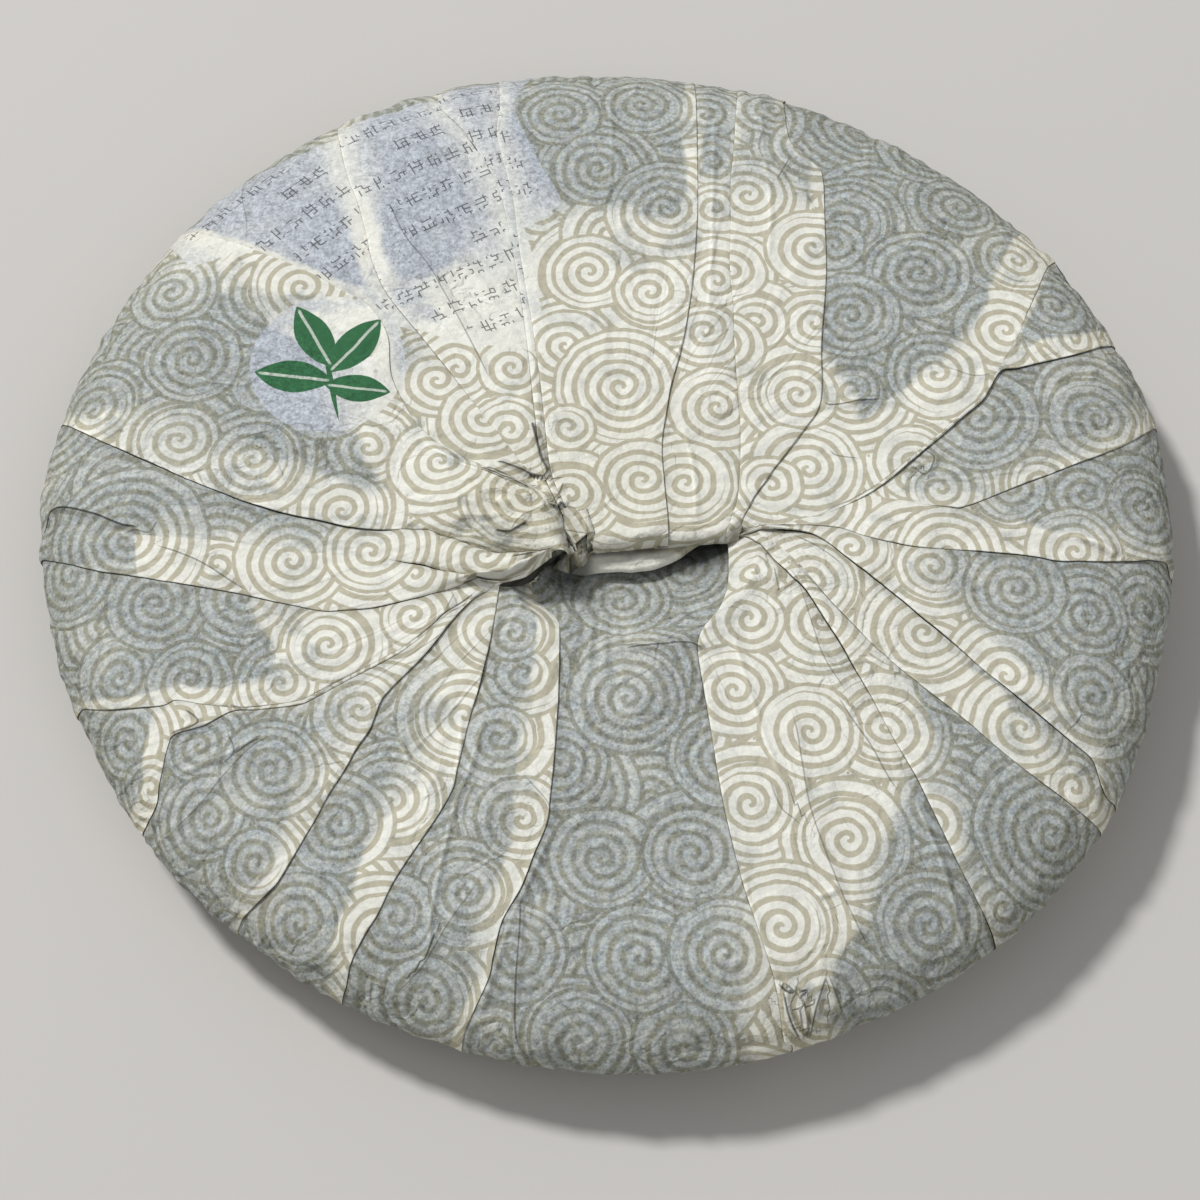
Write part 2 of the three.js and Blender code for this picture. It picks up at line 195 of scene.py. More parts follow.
              (19.2, -52.9), (17.9, -42.6), (16.8, -35), (15.9, -27), (17.2, -23), (19.9, -18.6), (21.3, -14),
              (21.7, -7.9), (21.5, -3.5)],
     "discs": [(36, -90, 8), (45, -95, 8), (22, -36, 9), (37, -22.5, 9), (25.7, -13.2, 5), (24.8, -22.5, 6.5),
               (47, -42.1, 7), (34.5, -43.5, 9), (23.9, -56.8, 7.5), (52.8, -76.5, 9.2), (39.9, -62.9, 7.5),
               (28.6, -78, 8)]},
    {"name": "r5", "over": 1, "rise": 0.8, "tip": 55,
     "bandOver": [(52, 10), (59, 8.7), (68, 7.2), (77, 5.6), (87, 2), (100, 0.5)],
     "bandUnder": [(52, 0), (100, -2)],
     "path": [(62.3, -79.5), (60, -72.1), (57.3, -65.4), (54.6, -58.2), (52, -51.5), (49.3, -45.7),
              (46.6, -39.5), (44.6, -35), (40.8, -27.1), (37.7, -21.3), (35, -16.3), (32.4, -13.2),
              (29.7, -10.1), (27.1, -6.9), (24.4, -4.4), (21.5, -3.5)],
     "discs": [(60, -33, 8), (54, -60, 8), (65.3, -72.9, 9), (73.8, -60, 13.5), (35.9, -22.5, 7.5),
               (47.3, -43.5, 7.6)]},
    {"name": "r6", "over": 1, "rise": 0.5, "flat": (44, 32, 0.08), "tip": 70, "bandOver": [(74, 9), (95, 6)],
     "bandUnder": [(74, -3), (100, -3)],
     "path": [(80.7, -60), (77.4, -56.4), (75.2, -54.2), (70.3, -50), (66.3, -46.2), (60, -39.9), (54.6, -35),
              (50.6, -31.1), (44.8, -25.3), (40, -19.5), (33, -10.9), (27.5, -5.8), (22, -3.7)],
     "discs": [(78, -52, 6), (35.8, -15.4, 8), (69.8, -42.3, 8.8), (54.6, -24.8, 8.7)]},
    {"name": "r7", "over": 1, "rise": 1, "tip": 60, "bandOver": [(60, 8), (85, 5), (100, 1)],
     "bandUnder": [(60, -1), (100, -3)],
     "path": [(85, -56.5), (82.5, -54.6), (81.7, -52), (81, -47.7), (77.9, -44.4), (73.4, -39.9), (68.3, -35),
              (64, -30.8), (60, -26.6), (54.6, -21.3), (50.2, -16.8), (43.9, -11), (38.1, -5.8), (34.6, -4.4),
              (29, -3.9), (22, -3.6)],
     "discs": [(95, -18, 7), (83, -35.8, 8), (68, -32.8, 8), (83.6, -20.8, 8), (57, -12, 7), (43, -8.5, 8),
               (71.1, -16.3, 9.4)]},
    {"name": "r8", "over": 1, "rise": 0.7, "tip": 66, "bandOver": [(66, 7), (86, 6), (100, 2)],
     "bandUnder": [(66, 0), (100, -3)],
     "path": [(99, -13.5), (97.1, -10.8), (94.4, -10.1), (89.9, -10.2), (80.1, -10.2), (75.2, -9.4), (70, -8.7),
              (60, -7.9), (53.8, -7.2), (46.2, -5.4), (40.8, -3.4), (36, -3.1), (30, -3.5), (22, -3.55)],
     "discs": [(84, 3, 8), (95.2, 2, 7.5), (71, 3.8, 7), (81.8, -8.7, 9), (60, -9.6, 10)]},
]

sheets = {
    "wallRows": 54,             # from the lower edge of the rim up to the shoulder
    "topRows": 140,             # from the shoulder to the gather
    "wallEnd": 112,             # measured over the cake from the middle of the top
    "shoulder": 80,
    "spacing": 0.6,             # between the columns at the rim
    # the folded edge: mm in from the pleat line, share of the rise, and how much painted shade the gap under it gets
    "curl": [(0.6, 1.0, 0), (0.22, 0.99, 0), (0.04, 0.9, 0), (-0.04, 0.74, 0), (0.0, 0.56, 0.3),
             (0.16, 0.44, 1), (0.7, 0.34, 1), (1.8, 0.2, 1)],
    "tuck": [0.4, 1.2, 2.4],    # how far a sheet goes on under its neighbour
    "flapRoll": 2.3,            # radius of the folded front edge over the dimple
    "flapBack": 1.7,            # how much nearer than that fold its paper turns down
    "flapTurn": 205,            # degrees that it rolls under
    "flapRows": 18,
    "rolls": {"t10": 3.2, "l1": 2.4, "l2": 3.4},      # sheets gathered into rolls, and how high
    "inFlap": ("r11", "t1", "t3", "t2", "t5", "t6", "t7"),      # these end in the flap over the dimple
}

# Short creases and hidden edges, as seen by the camera: the strength of the painted shade line along it, which also
# sets its relief, the length over which its ends fade, and its path. A crease with a negative strength gets a
# painted highlight and relief but no painted shade line
creases = [
    (-0.5, 4, [(-0.2, -27.5), (-2, -35), (-4, -41.7), (-4.4, -50.2), (-5.1, -56.4)]),
    (0.8, 1, [(3.4, -27.3), (8, -26.8), (14.6, -26.2), (16.6, -27.8)]),
    (1, 0.3, [(10.7, -25.6), (11.5, -25)]),
    (-0.5, 4, [(21.8, -24), (23, -30), (24.4, -35), (25.7, -40.4), (27.5, -46.6), (29.7, -53.3)]),
    (0.55, 4, [(31.5, -38.6), (32.4, -43), (33.1, -49.3), (34.2, -57.3), (37.7, -68.9), (40.4, -76.1),
               (43, -82.3)]),
    (0.6, 4, [(35, -83.2), (37.2, -89.9), (38.5, -95)]),
    (0.6, 4, [(38.8, -35), (41.7, -40.4), (44.6, -45.3), (47.1, -50.8), (49.5, -54.9)]),
    (1, 1, [(-98.3, -5), (-95.8, 0), (-89.8, -0.7), (-85, -2.9), (-82, -3.3)]),
    (0.6, 1, [(-84.5, -4.8), (-82.4, -3.9), (-80, -4.4), (-78.5, -1.9)]),
    (0.7, 4, [(-80, -6.7), (-76.4, -8.1), (-72.4, -9.9), (-69.3, -11.7), (-65.3, -14.6), (-61.3, -17)]),
    (0.8, 1, [(-72.9, -39.7), (-70.4, -42.4), (-75.3, -44.6)]),
    (0.5, 4, [(-55.9, -43.7), (-60.4, -46.4), (-64.8, -51.5), (-69.3, -57.8), (-74.2, -63.6)]),
    (-0.6, 4, [(-65.3, -44.4), (-74.6, -50.6)]),
    (-0.6, 4, [(-76.9, -55.3), (-71.5, -58.4)]),
    (0.5, 4, [(-35, -92.1), (-30.1, -86.3), (-26.1, -78.8), (-20.7, -70.3)]),
    (0.7, 4, [(-14, -72.5), (-14.2, -79.6), (-14.7, -88.6), (-14.5, -97.5), (-12.7, -101)]),
    (0.7, 1, [(31.5, -98), (32.5, -93), (30.6, -89), (28.4, -87)]),
    (-0.9, 4, [(10, -100), (20, -99.7), (27.5, -98.2), (31, -97.7)]),
    (-0.6, 4, [(0.7, 88), (1.2, 76.4), (0.7, 64.8)]),
    (0.55, 4, [(-40, 65.7), (-36.7, 57.7), (-32.3, 51.4), (-29.2, 45.2), (-24.3, 35), (-20.3, 26)]),
    (0.4, 4, [(-64, 73), (-65.7, 69.7), (-66.2, 65.7), (-65.3, 60.4), (-65.3, 55.4)]),
    (0.6, 1, [(34.6, 75.5), (32, 70.2)]),
    (0.8, 1.5, [(39.2, 22.9), (40.4, 21.8), (45.7, 22.5), (50, 22.9)]),
    (0.6, 1.5, [(39.7, 12.7), (41.3, 11.1), (45.3, 10.4)]),
    (0.9, 1, [(80, 54.6), (84.6, 45.2)]),
    (0.8, 1, [(82, 55.4), (86, 46.8)]),
    (0.6, 1, [(53.5, 9.2), (56.2, 7.2)]),
    (1.6, 1, [(-19.3, 9.8), (-15, 8), (-11.8, 6.6), (-10.2, 7.5), (-11.3, 10.5), (-13.1, 18)]),
    (1.7, 1, [(-21.5, 8.6), (-18.2, 7.1), (-15, 5.3), (-12.7, 4)]),
    (1.7, 0.4, [(-8.4, 0.2), (-7.6, 1.1), (-7, 0.1)]),
    (0.8, 1, [(-8.6, 2), (-7.6, 4.4), (-7.4, 5.6)]),
    (-0.7, 1, [(-13, 6.4), (-10.4, 4.6), (-8.6, 3.1)]),
    (-0.7, 4, [(-33, 14), (-25, 9), (-18, 5.5)]),
    (-1, 4, [(-20.5, -39.6), (-22.4, -47.7), (-25.4, -57.4), (-27.5, -67), (-29.2, -78), (-29.4, -85.5)]),
    (-0.7, 4, [(-24.6, -38.7), (-24.8, -47.7), (-26.2, -55.7)]),
    (-0.8, 1, [(-35.1, -42.3), (-33.7, -48.6), (-31.6, -51.1)]),
    (-0.8, 4, [(-8.5, -60), (-13.2, -71.2), (-16.2, -78.9), (-18.8, -88), (-21.4, -96.2)]),
    (-0.9, 2, [(-74, -52.1), (-66.1, -48.6), (-59.1, -44.1)]),
    (0.6, 1, [(-65.2, -43.7), (-63.8, -47.7), (-66, -50.4)]),
    (0.5, 1, [(-13.4, -51.7), (-9.3, -57), (-10.1, -60.9)]),
    (-0.8, 1, [(-33.2, -88.8), (-29.5, -83.9), (-28.8, -80.5)]),
    (-0.8, 3, [(64.1, 19.5), (75.4, 19), (87.1, 16.7)]),
    (0.7, 1, [(56.3, 12.6), (58.2, 10.4), (56.5, 7), (54.2, 9.2)]),
    (-1, 1, [(81.6, -5.3), (87.2, -7.5), (88.9, -9.7)]),
    (0.5, 4, [(31.1, -10.8), (33.8, -15.2), (37.2, -28), (41.6, -36.5)]),
    (0.9, 1, [(28.4, -88.5), (29.3, -93), (31, -97)]),
    (0.9, 1, [(31, -88.5), (32, -92), (32, -96.5)]),
    (0.8, 1, [(35.6, -85.5), (33.5, -91.5), (32.2, -96.5)]),
    (1, 0.6, [(27.6, -87.3), (29.5, -88.8), (32.6, -88.2)]),
    (-1, 4, [(50.5, -53), (53.5, -62), (55.3, -68), (56.5, -75), (58.5, -84)]),
    (0.5, 4, [(27, -50), (29, -56.5), (31.2, -58.8), (33.5, -61)]),
    (-0.8, 1, [(34, -72.5), (38.2, -70.8)]),
    (0.5, 1, [(-12.6, 4.1), (-12.2, 2.7), (-14.3, 0.2)]),
    (0.6, 1, [(-9.8, -0.3), (-13.7, -3), (-16.6, -6.5)]),
    (1.3, 1, [(-13.4, -4.8), (-16.6, -6.6), (-19.5, -6.2)]),
    (1.2, 1, [(-16.4, -11.2), (-14, -11), (-11.6, -10.4)]),
    (0.5, 1, [(-37.2, -8.5), (-39.4, -11)]),
    (0.5, 1, [(-27.7, -20.6), (-26, -16.5)]),
    (0.6, 4, [(31, -3.8), (34, -5.5), (38, -8), (42.5, -12)]),
    (0.6, 1, [(29.3, -11), (29.7, -13.5), (30.3, -16.5)]),
    (0.5, 4, [(-66, 14), (-57, 17)]),
    (-0.6, 4, [(-93, 35), (-84, 33), (-72, 27), (-64, 26)]),
    (-0.5, 4, [(29, 92), (29.4, 80), (30.5, 66), (30, 52)]),
    (0.5, 4, [(60, 30), (66, 27.5), (71, 28.5)]),
    (-0.6, 4, [(20.4, 86), (20, 70), (19.5, 54), (18.5, 40)]),
    (-0.6, 4, [(13.5, 18), (15.5, 8), (15.8, -3)]),
]

# The part of the wrapper at the back left that has no pattern on it: the outline on each sheet, as
# seen by the camera, and the slant of the faint lines of small print
bareFields = {
    "t2": {"slant": 14, "start": 2.0,
           "outline": [(-40, 110), (-16, 110), (-17.4, 87), (-14, 78.7), (-11.8, 73.8), (-8.7, 67.9), (-8.2, 65.7),
                       (-11.3, 62), (-14.9, 59.9), (-13.1, 53.7), (-12.7, 47), (-11.3, 40.3), (-40, 40)]},
    "t5": {"slant": 18, "start": 0.5,
           "outline": [(-60, 110), (0, 110), (-5, 70), (-8, 36), (-12, 33), (-20, 34), (-60, 60)]},
    "t6": {"slant": 27, "start": 3.5,
           "outline": [(-90, 110), (0, 110), (-5, 70), (-10, 34), (-18, 33.5), (-28, 35), (-90, 60)]},
    "t7": {"slant": 42, "start": 1.2,
           "outline": [(-110, 110), (0, 110), (-20, 60), (-20, 38), (-28, 34.5), (-36, 38), (-46, 40), (-110, 52)]},
    "t10": {"slant": 42, "start": 0,
            "outline": [(-86, 66), (-60, 66), (-64, 53.2), (-68, 53.4), (-71, 51.8), (-75, 50.4), (-80, 55.5),
                        (-84, 57)]},
}

pattern = {
    "spacing": 12.5,            # of the spirals that fill in between the placed ones
    "radius": (10, 14),
    "widen": 3.6,               # rings that go on round the smaller ones
    "seamRing": 40,
}


def smoothstep(x, low, high):
    t = np.clip((x - low) / (high - low), 0, 1)
    return t * t * (3 - 2 * t)


def table(rows, at):
    rows = np.array(rows, float)
    return np.interp(at, rows[:, 0], rows[:, 1])


def side(*values):
    return np.stack(values, axis=1)


def fromMiddle(plan):
    return np.hypot(plan[:, 0], plan[:, 1])


def lengthAlong(path):
    return np.concatenate([[0], np.cumsum(fromMiddle(np.diff(path, axis=0)))])


def catmullRom(points, count):
    p = np.array(points, float)
    p = np.vstack([2 * p[0] - p[1], p, 2 * p[-1] - p[-2]])
    t = np.linspace(0, len(points) - 1 - 1e-9, count)
    i = t.astype(int)
    f = (t - i)[:, None]
    a, b, c, d = p[i], p[i + 1], p[i + 2], p[i + 3]
    return 0.5 * (2 * b + (c - a) * f + (2 * a - 5 * b + 4 * c - d) * f ** 2 + (3 * b - a - 3 * c + d) * f ** 3)


def resample(path, count):
    length = lengthAlong(path)
    at = np.linspace(0, length[-1], count)
    return side(*[np.interp(at, length, path[:, k]) for k in (0, 1)])


section = catmullRom(cake["section"], 4000)
sectionRun = lengthAlong(section)
sectionSlope = np.gradient(section, sectionRun, axis=0)
sectionEnd = sectionRun[-1]


def onSection(run, values):
    return np.interp(run, sectionRun, values)


# Smooth noise between -1 and 1
def noise2(x, y, seed):
    xi, yi = np.floor(x), np.floor(y)
    xf, yf = x - xi, y - yi

    def corner(dx, dy):
        h = np.sin((xi + dx) * 127.1 + (yi + dy) * 311.7 + seed * 74.7) * 43758.5453
        angle = (h - np.floor(h)) * 2 * math.pi
        return np.cos(angle) * (xf - dx) + np.sin(angle) * (yf - dy)

    u, v = xf * xf * (3 - 2 * xf), yf * yf * (3 - 2 * yf)
    low = corner(0, 0) * (1 - u) + corner(1, 0) * u
    high = corner(0, 1) * (1 - u) + corner(1, 1) * u
    return (low * (1 - v) + high * v) * 1.5


def ridges(x, y, seed):
    return 0.5 - np.abs(noise2(x, y, seed))


# 1 in the middle of a place, falling off with the squares of its half widths
def spot(plan, x, y, wide, deep):
    return np.exp(-((plan[:, 0] - x) ** 2 / wide + (plan[:, 1] - y) ** 2 / deep))


def rimScale(angle, run):
    share = smoothstep(onSection(run, section[:, 0]), cake["footRadius"], cake["rimRadius"])
    return 1 + table(cake["bulge"], np.degrees(angle) % 360) / cake["rimRadius"] * share


def dimple(plan):
    away = (plan - cake["dimpleMiddle"]) / cake["dimpleReach"]
    return cake["dimpleDepth"] * np.clip(1 - (away ** 2).sum(1), 0, 1) ** 0.8


# How far the crumpled paper stands out, in mm, over the whole cake
def crumple(plan, seed=0):
    x, y = plan.T
    run = fromMiddle(plan)
    angle = np.arctan2(y, x)
    aroundX, aroundY = np.cos(angle) * 9, np.sin(angle) * 9
    near = smoothstep(-run, -46, -16) * smoothstep(run, 12, 28)
    rim = smoothstep(run, 90, 99)
    broad = noise2(x / 26, y / 26, 1 + seed) * 0.35
    pull = ridges(aroundX * 1.6 + run / 40, aroundY * 1.6, 2 + seed) * 0.35 * smoothstep(run, 14, 50)
    coarse = ridges(x / 7 + broad * 3, y / 7, 3 + seed) * 0.28
    fine = ridges(x / 3.1, y / 3.1, 4 + seed) * 0.08
    gathers = ridges(aroundX * 2.6, aroundY * 2.6 + run / 30, 5 + seed) * 0.55 * rim
    drawn = ridges(aroundX * 1.2, aroundY * 1.2 + run / 16, 6 + seed) * 0.9 * near
    knotted = 0.6 - np.sqrt(np.abs(noise2((x + y * 0.5) / 6.5, (y - x * 0.3) / 3.6, 8 + seed)))
    knotted *= 1.9 * spot(plan, -17, -3, 110, 50)
    return broad + pull + gathers + drawn + knotted + (coarse + fine) * (1 + 1.6 * near + 0.6 * rim)


# From a place over the cake, as mm from the middle measured along the paper, to metres in the frame
def overCake(plan, lift):
    run = fromMiddle(plan)
    angle = np.arctan2(plan[:, 1], plan[:, 0])
    radius = onSection(run, section[:, 0]) - onSection(run, sectionSlope[:, 1]) * lift
    height = onSection(run, section[:, 1]) + onSection(run, sectionSlope[:, 0]) * lift
    radius = radius * rimScale(angle, run)
    return side(radius * np.cos(angle), radius * np.sin(angle), height) * mm


# Where a line drawn as the camera sees it lies over the cake
def fromView(points):
    elevation = math.radians(camera["elevation"])
    eye = np.array(camera["target"]) + camera["distance"] * np.array([0, -math.cos(elevation), math.sin(elevation)])
    flat = np.array([(x, y, cake["tracePlane"]) for x, y in points], float)
    height = flat[:, 2].copy()
    rim = int(np.argmax(section[:, 0]))
    for _ in range(12):
        seen = eye + (flat - eye) * ((eye[2] - height) / (eye[2] - cake["tracePlane"]))[:, None]
        radius = np.minimum(fromMiddle(seen), cake["rimRadius"] - 0.5)
        height = 0.5 * height + 0.5 * np.interp(radius, section[:rim, 0], section[:rim, 1])
    run = np.interp(radius, section[:rim, 0], sectionRun[:rim])
    return seen[:, :2] / fromMiddle(seen)[:, None] * run[:, None]


# Every pleat as points at the same rows over the cake, from the lower edge to the gather
def pleatRows(pleat):
    plan = fromView(pleat["path"])
    start = plan[0] / np.hypot(*plan[0]) * sheets["wallEnd"]
    dense = np.vstack([np.linspace(start, plan[0], 60)[:-1], catmullRom(plan, 900)])
    run = fromMiddle(dense)
    levels = np.linspace(sheets["wallEnd"], sheets["shoulder"], sheets["wallRows"])
    cut = int(np.argmax(run <= sheets["shoulder"]))
    falling = np.minimum.accumulate(run[:cut + 1])
    wall = side(*[np.interp(-levels, -falling, dense[:cut + 1, k]) for k in (0, 1)])
    wall *= (levels / fromMiddle(wall))[:, None]
    return np.vstack([wall, resample(dense[cut:], sheets["topRows"] + 1)[1:]])


# Between two pleats the paper keeps to the round of the cake, and near the gather runs straight
def between(a, b, share):
    share = share[:, None]
    point = a * (1 - share) + b * share
    length, lengthA, lengthB = (np.linalg.norm(p, axis=1, keepdims=True) for p in (point, a, b))
    radius = lengthA * (1 - share) + lengthB * share
    roundness = smoothstep(radius, 35, 80)
    return point / np.maximum(length, 1e-6) * (length * (1 - roundness) + radius * roundness)


def fillDiscs(seed, reach=118):
    rng = np.random.default_rng(seed)
    discs = []
    for row in range(-11, 12):
        for column in range(-11, 12):
            x = (column + 0.5 * (row % 2)) * pattern["spacing"] + rng.uniform(-2, 2)
            y = row * pattern["spacing"] * 0.866 + rng.uniform(-2, 2)
            discs.append((x, y, rng.uniform(*pattern["radius"])))
    rng.shuffle(discs)
    return [d for d in discs if math.hypot(d[0], d[1]) < reach]


underDiscs = fillDiscs(7, 90)
seamDiscs = [(93 * math.cos(a), 93 * math.sin(a), 9) for a in
             np.linspace(0, 2 * math.pi, pattern["seamRing"], endpoint=False)]


# Offsets of places on the paper from the middle of every disc, flattened out round that middle
def discOffsets(plan, discs, fromTop):
    discs = np.array(discs)
    centre = discs[:, :2]
    reach = fromMiddle(centre)
    out = centre / np.maximum(reach, 1e-6)[:, None]
    run = fromMiddle(plan)
    stretch = onSection(run if fromTop else sectionEnd - run, section[:, 0]) / np.maximum(run, 1e-6)
    straight = ((plan[:, None] - centre) * out).sum(-1)
    along = np.where(reach > 60, run[:, None] - reach, straight)
    across = plan[:, 1:] * out[:, 0] - plan[:, :1] * out[:, 1]
    across = across * np.where(reach > 60, stretch[:, None], 1)
    return along * out[:, 0] - across * out[:, 1], along * out[:, 1] + across * out[:, 0], discs[:, 2]


# Every face keeps the three topmost discs that may reach it, as offsets from their middles and the radius
def printPattern(mesh, plan, discs, lowDiscs):
    faces = len(mesh.polygons)
    corner = np.empty(len(mesh.loops), int)
    mesh.loops.foreach_get("vertex_index", corner)
    run = fromMiddle(plan)
    under = plan * ((sectionEnd - run) / np.maximum(run, 1e-6))[:, None]
    groups = [group for group in ((discs, plan, True), (lowDiscs, under, False)) if group[0]]
    printed = [(disc, at, fromTop) for some, at, fromTop in groups for disc in some]
    found = [discOffsets(at[corner].reshape(faces, -1, 2).mean(1), some, fromTop) for some, at, fromTop in groups]
    inside = np.concatenate([np.hypot(x, y) < radius + 0.8 for x, y, radius in found], axis=1)
    inside[:, 0] = True
    order = np.arange(len(printed))[None]
    blocked = np.full((faces, 1), len(printed))
    for name in ("discTop", "discMiddle", "discLow"):
        chosen = np.maximum(np.where(inside & (order < blocked), order, -1).max(1), 0)
        blocked = chosen[:, None]
        owner = np.repeat(chosen, len(corner) // faces)
        vector = np.zeros((len(corner), 3), np.float32)
        for index in np.unique(chosen):
            mask = owner == index
            disc, at, fromTop = printed[index]
            x, y, radius = discOffsets(at[corner[mask]], [disc], fromTop)
            vector[mask] = side(x[:, 0], y[:, 0], np.full(len(x), radius[0]))
        mesh.attributes.new(name, "FLOAT_VECTOR", "CORNER").data.foreach_set("vector", vector.ravel())


# Keeps one number, or three, at every point of a mesh
def markPoints(mesh, name, *values):
    kind, key = ("FLOAT", "value") if len(values) == 1 else ("FLOAT_VECTOR", "vector")
    rows = side(*np.broadcast_arrays(*values, np.zeros(len(mesh.vertices)))[:-1])
    mesh.attributes.new(name, kind, "POINT").data.foreach_set(key, rows.astype(np.float32).ravel())


# Signed distance from a path, and how far along it the nearest point is
def fromPath(plan, path, closed=False):
    path = np.vstack([path, path[:1]]) if closed else path
    starts = lengthAlong(path)
    best = np.full(len(plan), 1e9)
    along = np.zeros(len(plan))
    for i, step in enumerate(np.diff(path, axis=0)):
        length = max(math.hypot(*step), 1e-9)
        delta = plan - path[i]
        t = np.clip(delta @ step / length ** 2, 0, 1)
        distance = fromMiddle(delta - t[:, None] * step)
        sign = np.where(step[0] * delta[:, 1] < step[1] * delta[:, 0], -1, 1)
        closer = distance < np.abs(best)
        best = np.where(closer, distance * sign, best)
        along = np.where(closer, starts[i] + t * length, along)
    return best, along, starts[-1]


def insideOutline(plan, outline):
    inside = np.zeros(len(plan), bool)
    for a, b in zip(outline, np.roll(outline, -1, axis=0)):
        crosses = (a[1] > plan[:, 1]) != (b[1] > plan[:, 1])
        edge = a[0] + (plan[:, 1] - a[1]) / np.where(b[1] == a[1], 1e-9, b[1] - a[1]) * (b[0] - a[0])
        inside ^= crosses & (plan[:, 0] < edge)
    return inside


# Places that were handled most: the gather, the rolls and the rim
def wrinkles(plan):
    run = fromMiddle(plan)
    middle = 0.45 * smoothstep(-run, -30, -12)
    rim = 0.7 * smoothstep(run, 93, 99) + 0.25 * smoothstep(run, 80, 92)
    return np.clip(spot(plan, -17, -3, 130, 60) + middle + rim, 0, 1)


creasePaths = [catmullRom(fromView(path), 8 * len(path)) for _, _, path in creases]


# The creases near every point, in two groups that may cross each other
def markCreases(mesh, plan):
    distance = np.full((2, len(plan)), 9.0)
    power = np.zeros((2, len(plan)))
    for index, ((dark, fade, _), path) in enumerate(zip(creases, creasePaths)):
        close = np.all((plan > path.min(0) - 4) & (plan < path.max(0) + 4), axis=1)
        if not close.any():
            continue
        awayHere, powerHere = distance[index % 2], power[index % 2]
        away, along, total = fromPath(plan[close], path)
        strength = smoothstep(np.minimum(along, total - along), 0, fade) * smoothstep(-np.abs(away), -3, -2)
        nearer = np.abs(away) < np.minimum(np.abs(awayHere[close]), 3)
        awayHere[close] = np.where(nearer, away, awayHere[close])
        powerHere[close] = np.where(nearer, strength * dark, powerHere[close])
    # the crease strengths set painted shade lines, painted highlights and relief
    markPoints(mesh, "creaseAway", *distance, 0)
    markPoints(mesh, "creaseShadeAndRelief", *power, 0)
    markPoints(mesh, "wrinkled", wrinkles(plan))
    run = fromMiddle(plan)
    x, y = (plan / np.maximum(run, 1e-6)[:, None] * 10).T
    markPoints(mesh, "pulled", x + run / 45, y, run / 26)
    return distance, power


def toMesh(bm, name):
    mesh = bpy.data.meshes.new(name)
    bm.to_mesh(mesh)
    bm.free()
    return mesh


def placesOf(mesh):
    places = np.empty(len(mesh.vertices) * 3)
    mesh.vertices.foreach_get("co", places)
    return places.reshape(-1, 3)


def setPlaces(mesh, places):
    mesh.vertices.foreach_set("co", np.asarray(places, np.float32).ravel())
    mesh.polygons.foreach_set("use_smooth", np.ones(len(mesh.polygons), bool))
    mesh.update()


def gridMesh(name, columns, rows):
    bm = bmesh.new()
    bmesh.ops.create_grid(bm, x_segments=columns - 1, y_segments=rows - 1, size=0.5)
    mesh = toMesh(bm, name)
    x, y, _ = placesOf(mesh).T + 0.5
    return mesh, np.rint(x * (columns - 1)).astype(int), np.rint(y * (rows - 1)).astype(int)


# A sheet's two side paths carried on round the folded front edge of the flap
def rollOver(a, b):
    roll, walls = sheets["flapRoll"], sheets["wallRows"]
    turn = np.radians(np.linspace(0, sheets["flapTurn"], sheets["flapRows"] + 1))[1:]
    ends = []
    for path in (a, b):
        length = np.cumsum(fromMiddle(np.diff(path, axis=0)[::-1]))
        stop = len(path) - 1 - int(np.argmax(length >= roll + sheets["flapBack"]))
        ahead = path[-1] - path[stop]
        ends.append((stop, path[stop], ahead / np.hypot(*ahead)))
    stop = min(end[0] for end in ends)
    places, printed = [], []
    for path, (own, start, ahead) in zip((a, b), ends):
        flat = np.vstack([path[:walls], resample(path[walls:own + 1], stop + 1 - walls)])
        places.append(np.vstack([flat, start + np.sin(turn)[:, None] * roll * ahead]))
        printed.append(np.vstack([flat, start + turn[:, None] * roll * ahead]))
    drop = np.concatenate([np.zeros(stop + 1), roll * (1 - np.cos(turn))])
    return places, printed, drop


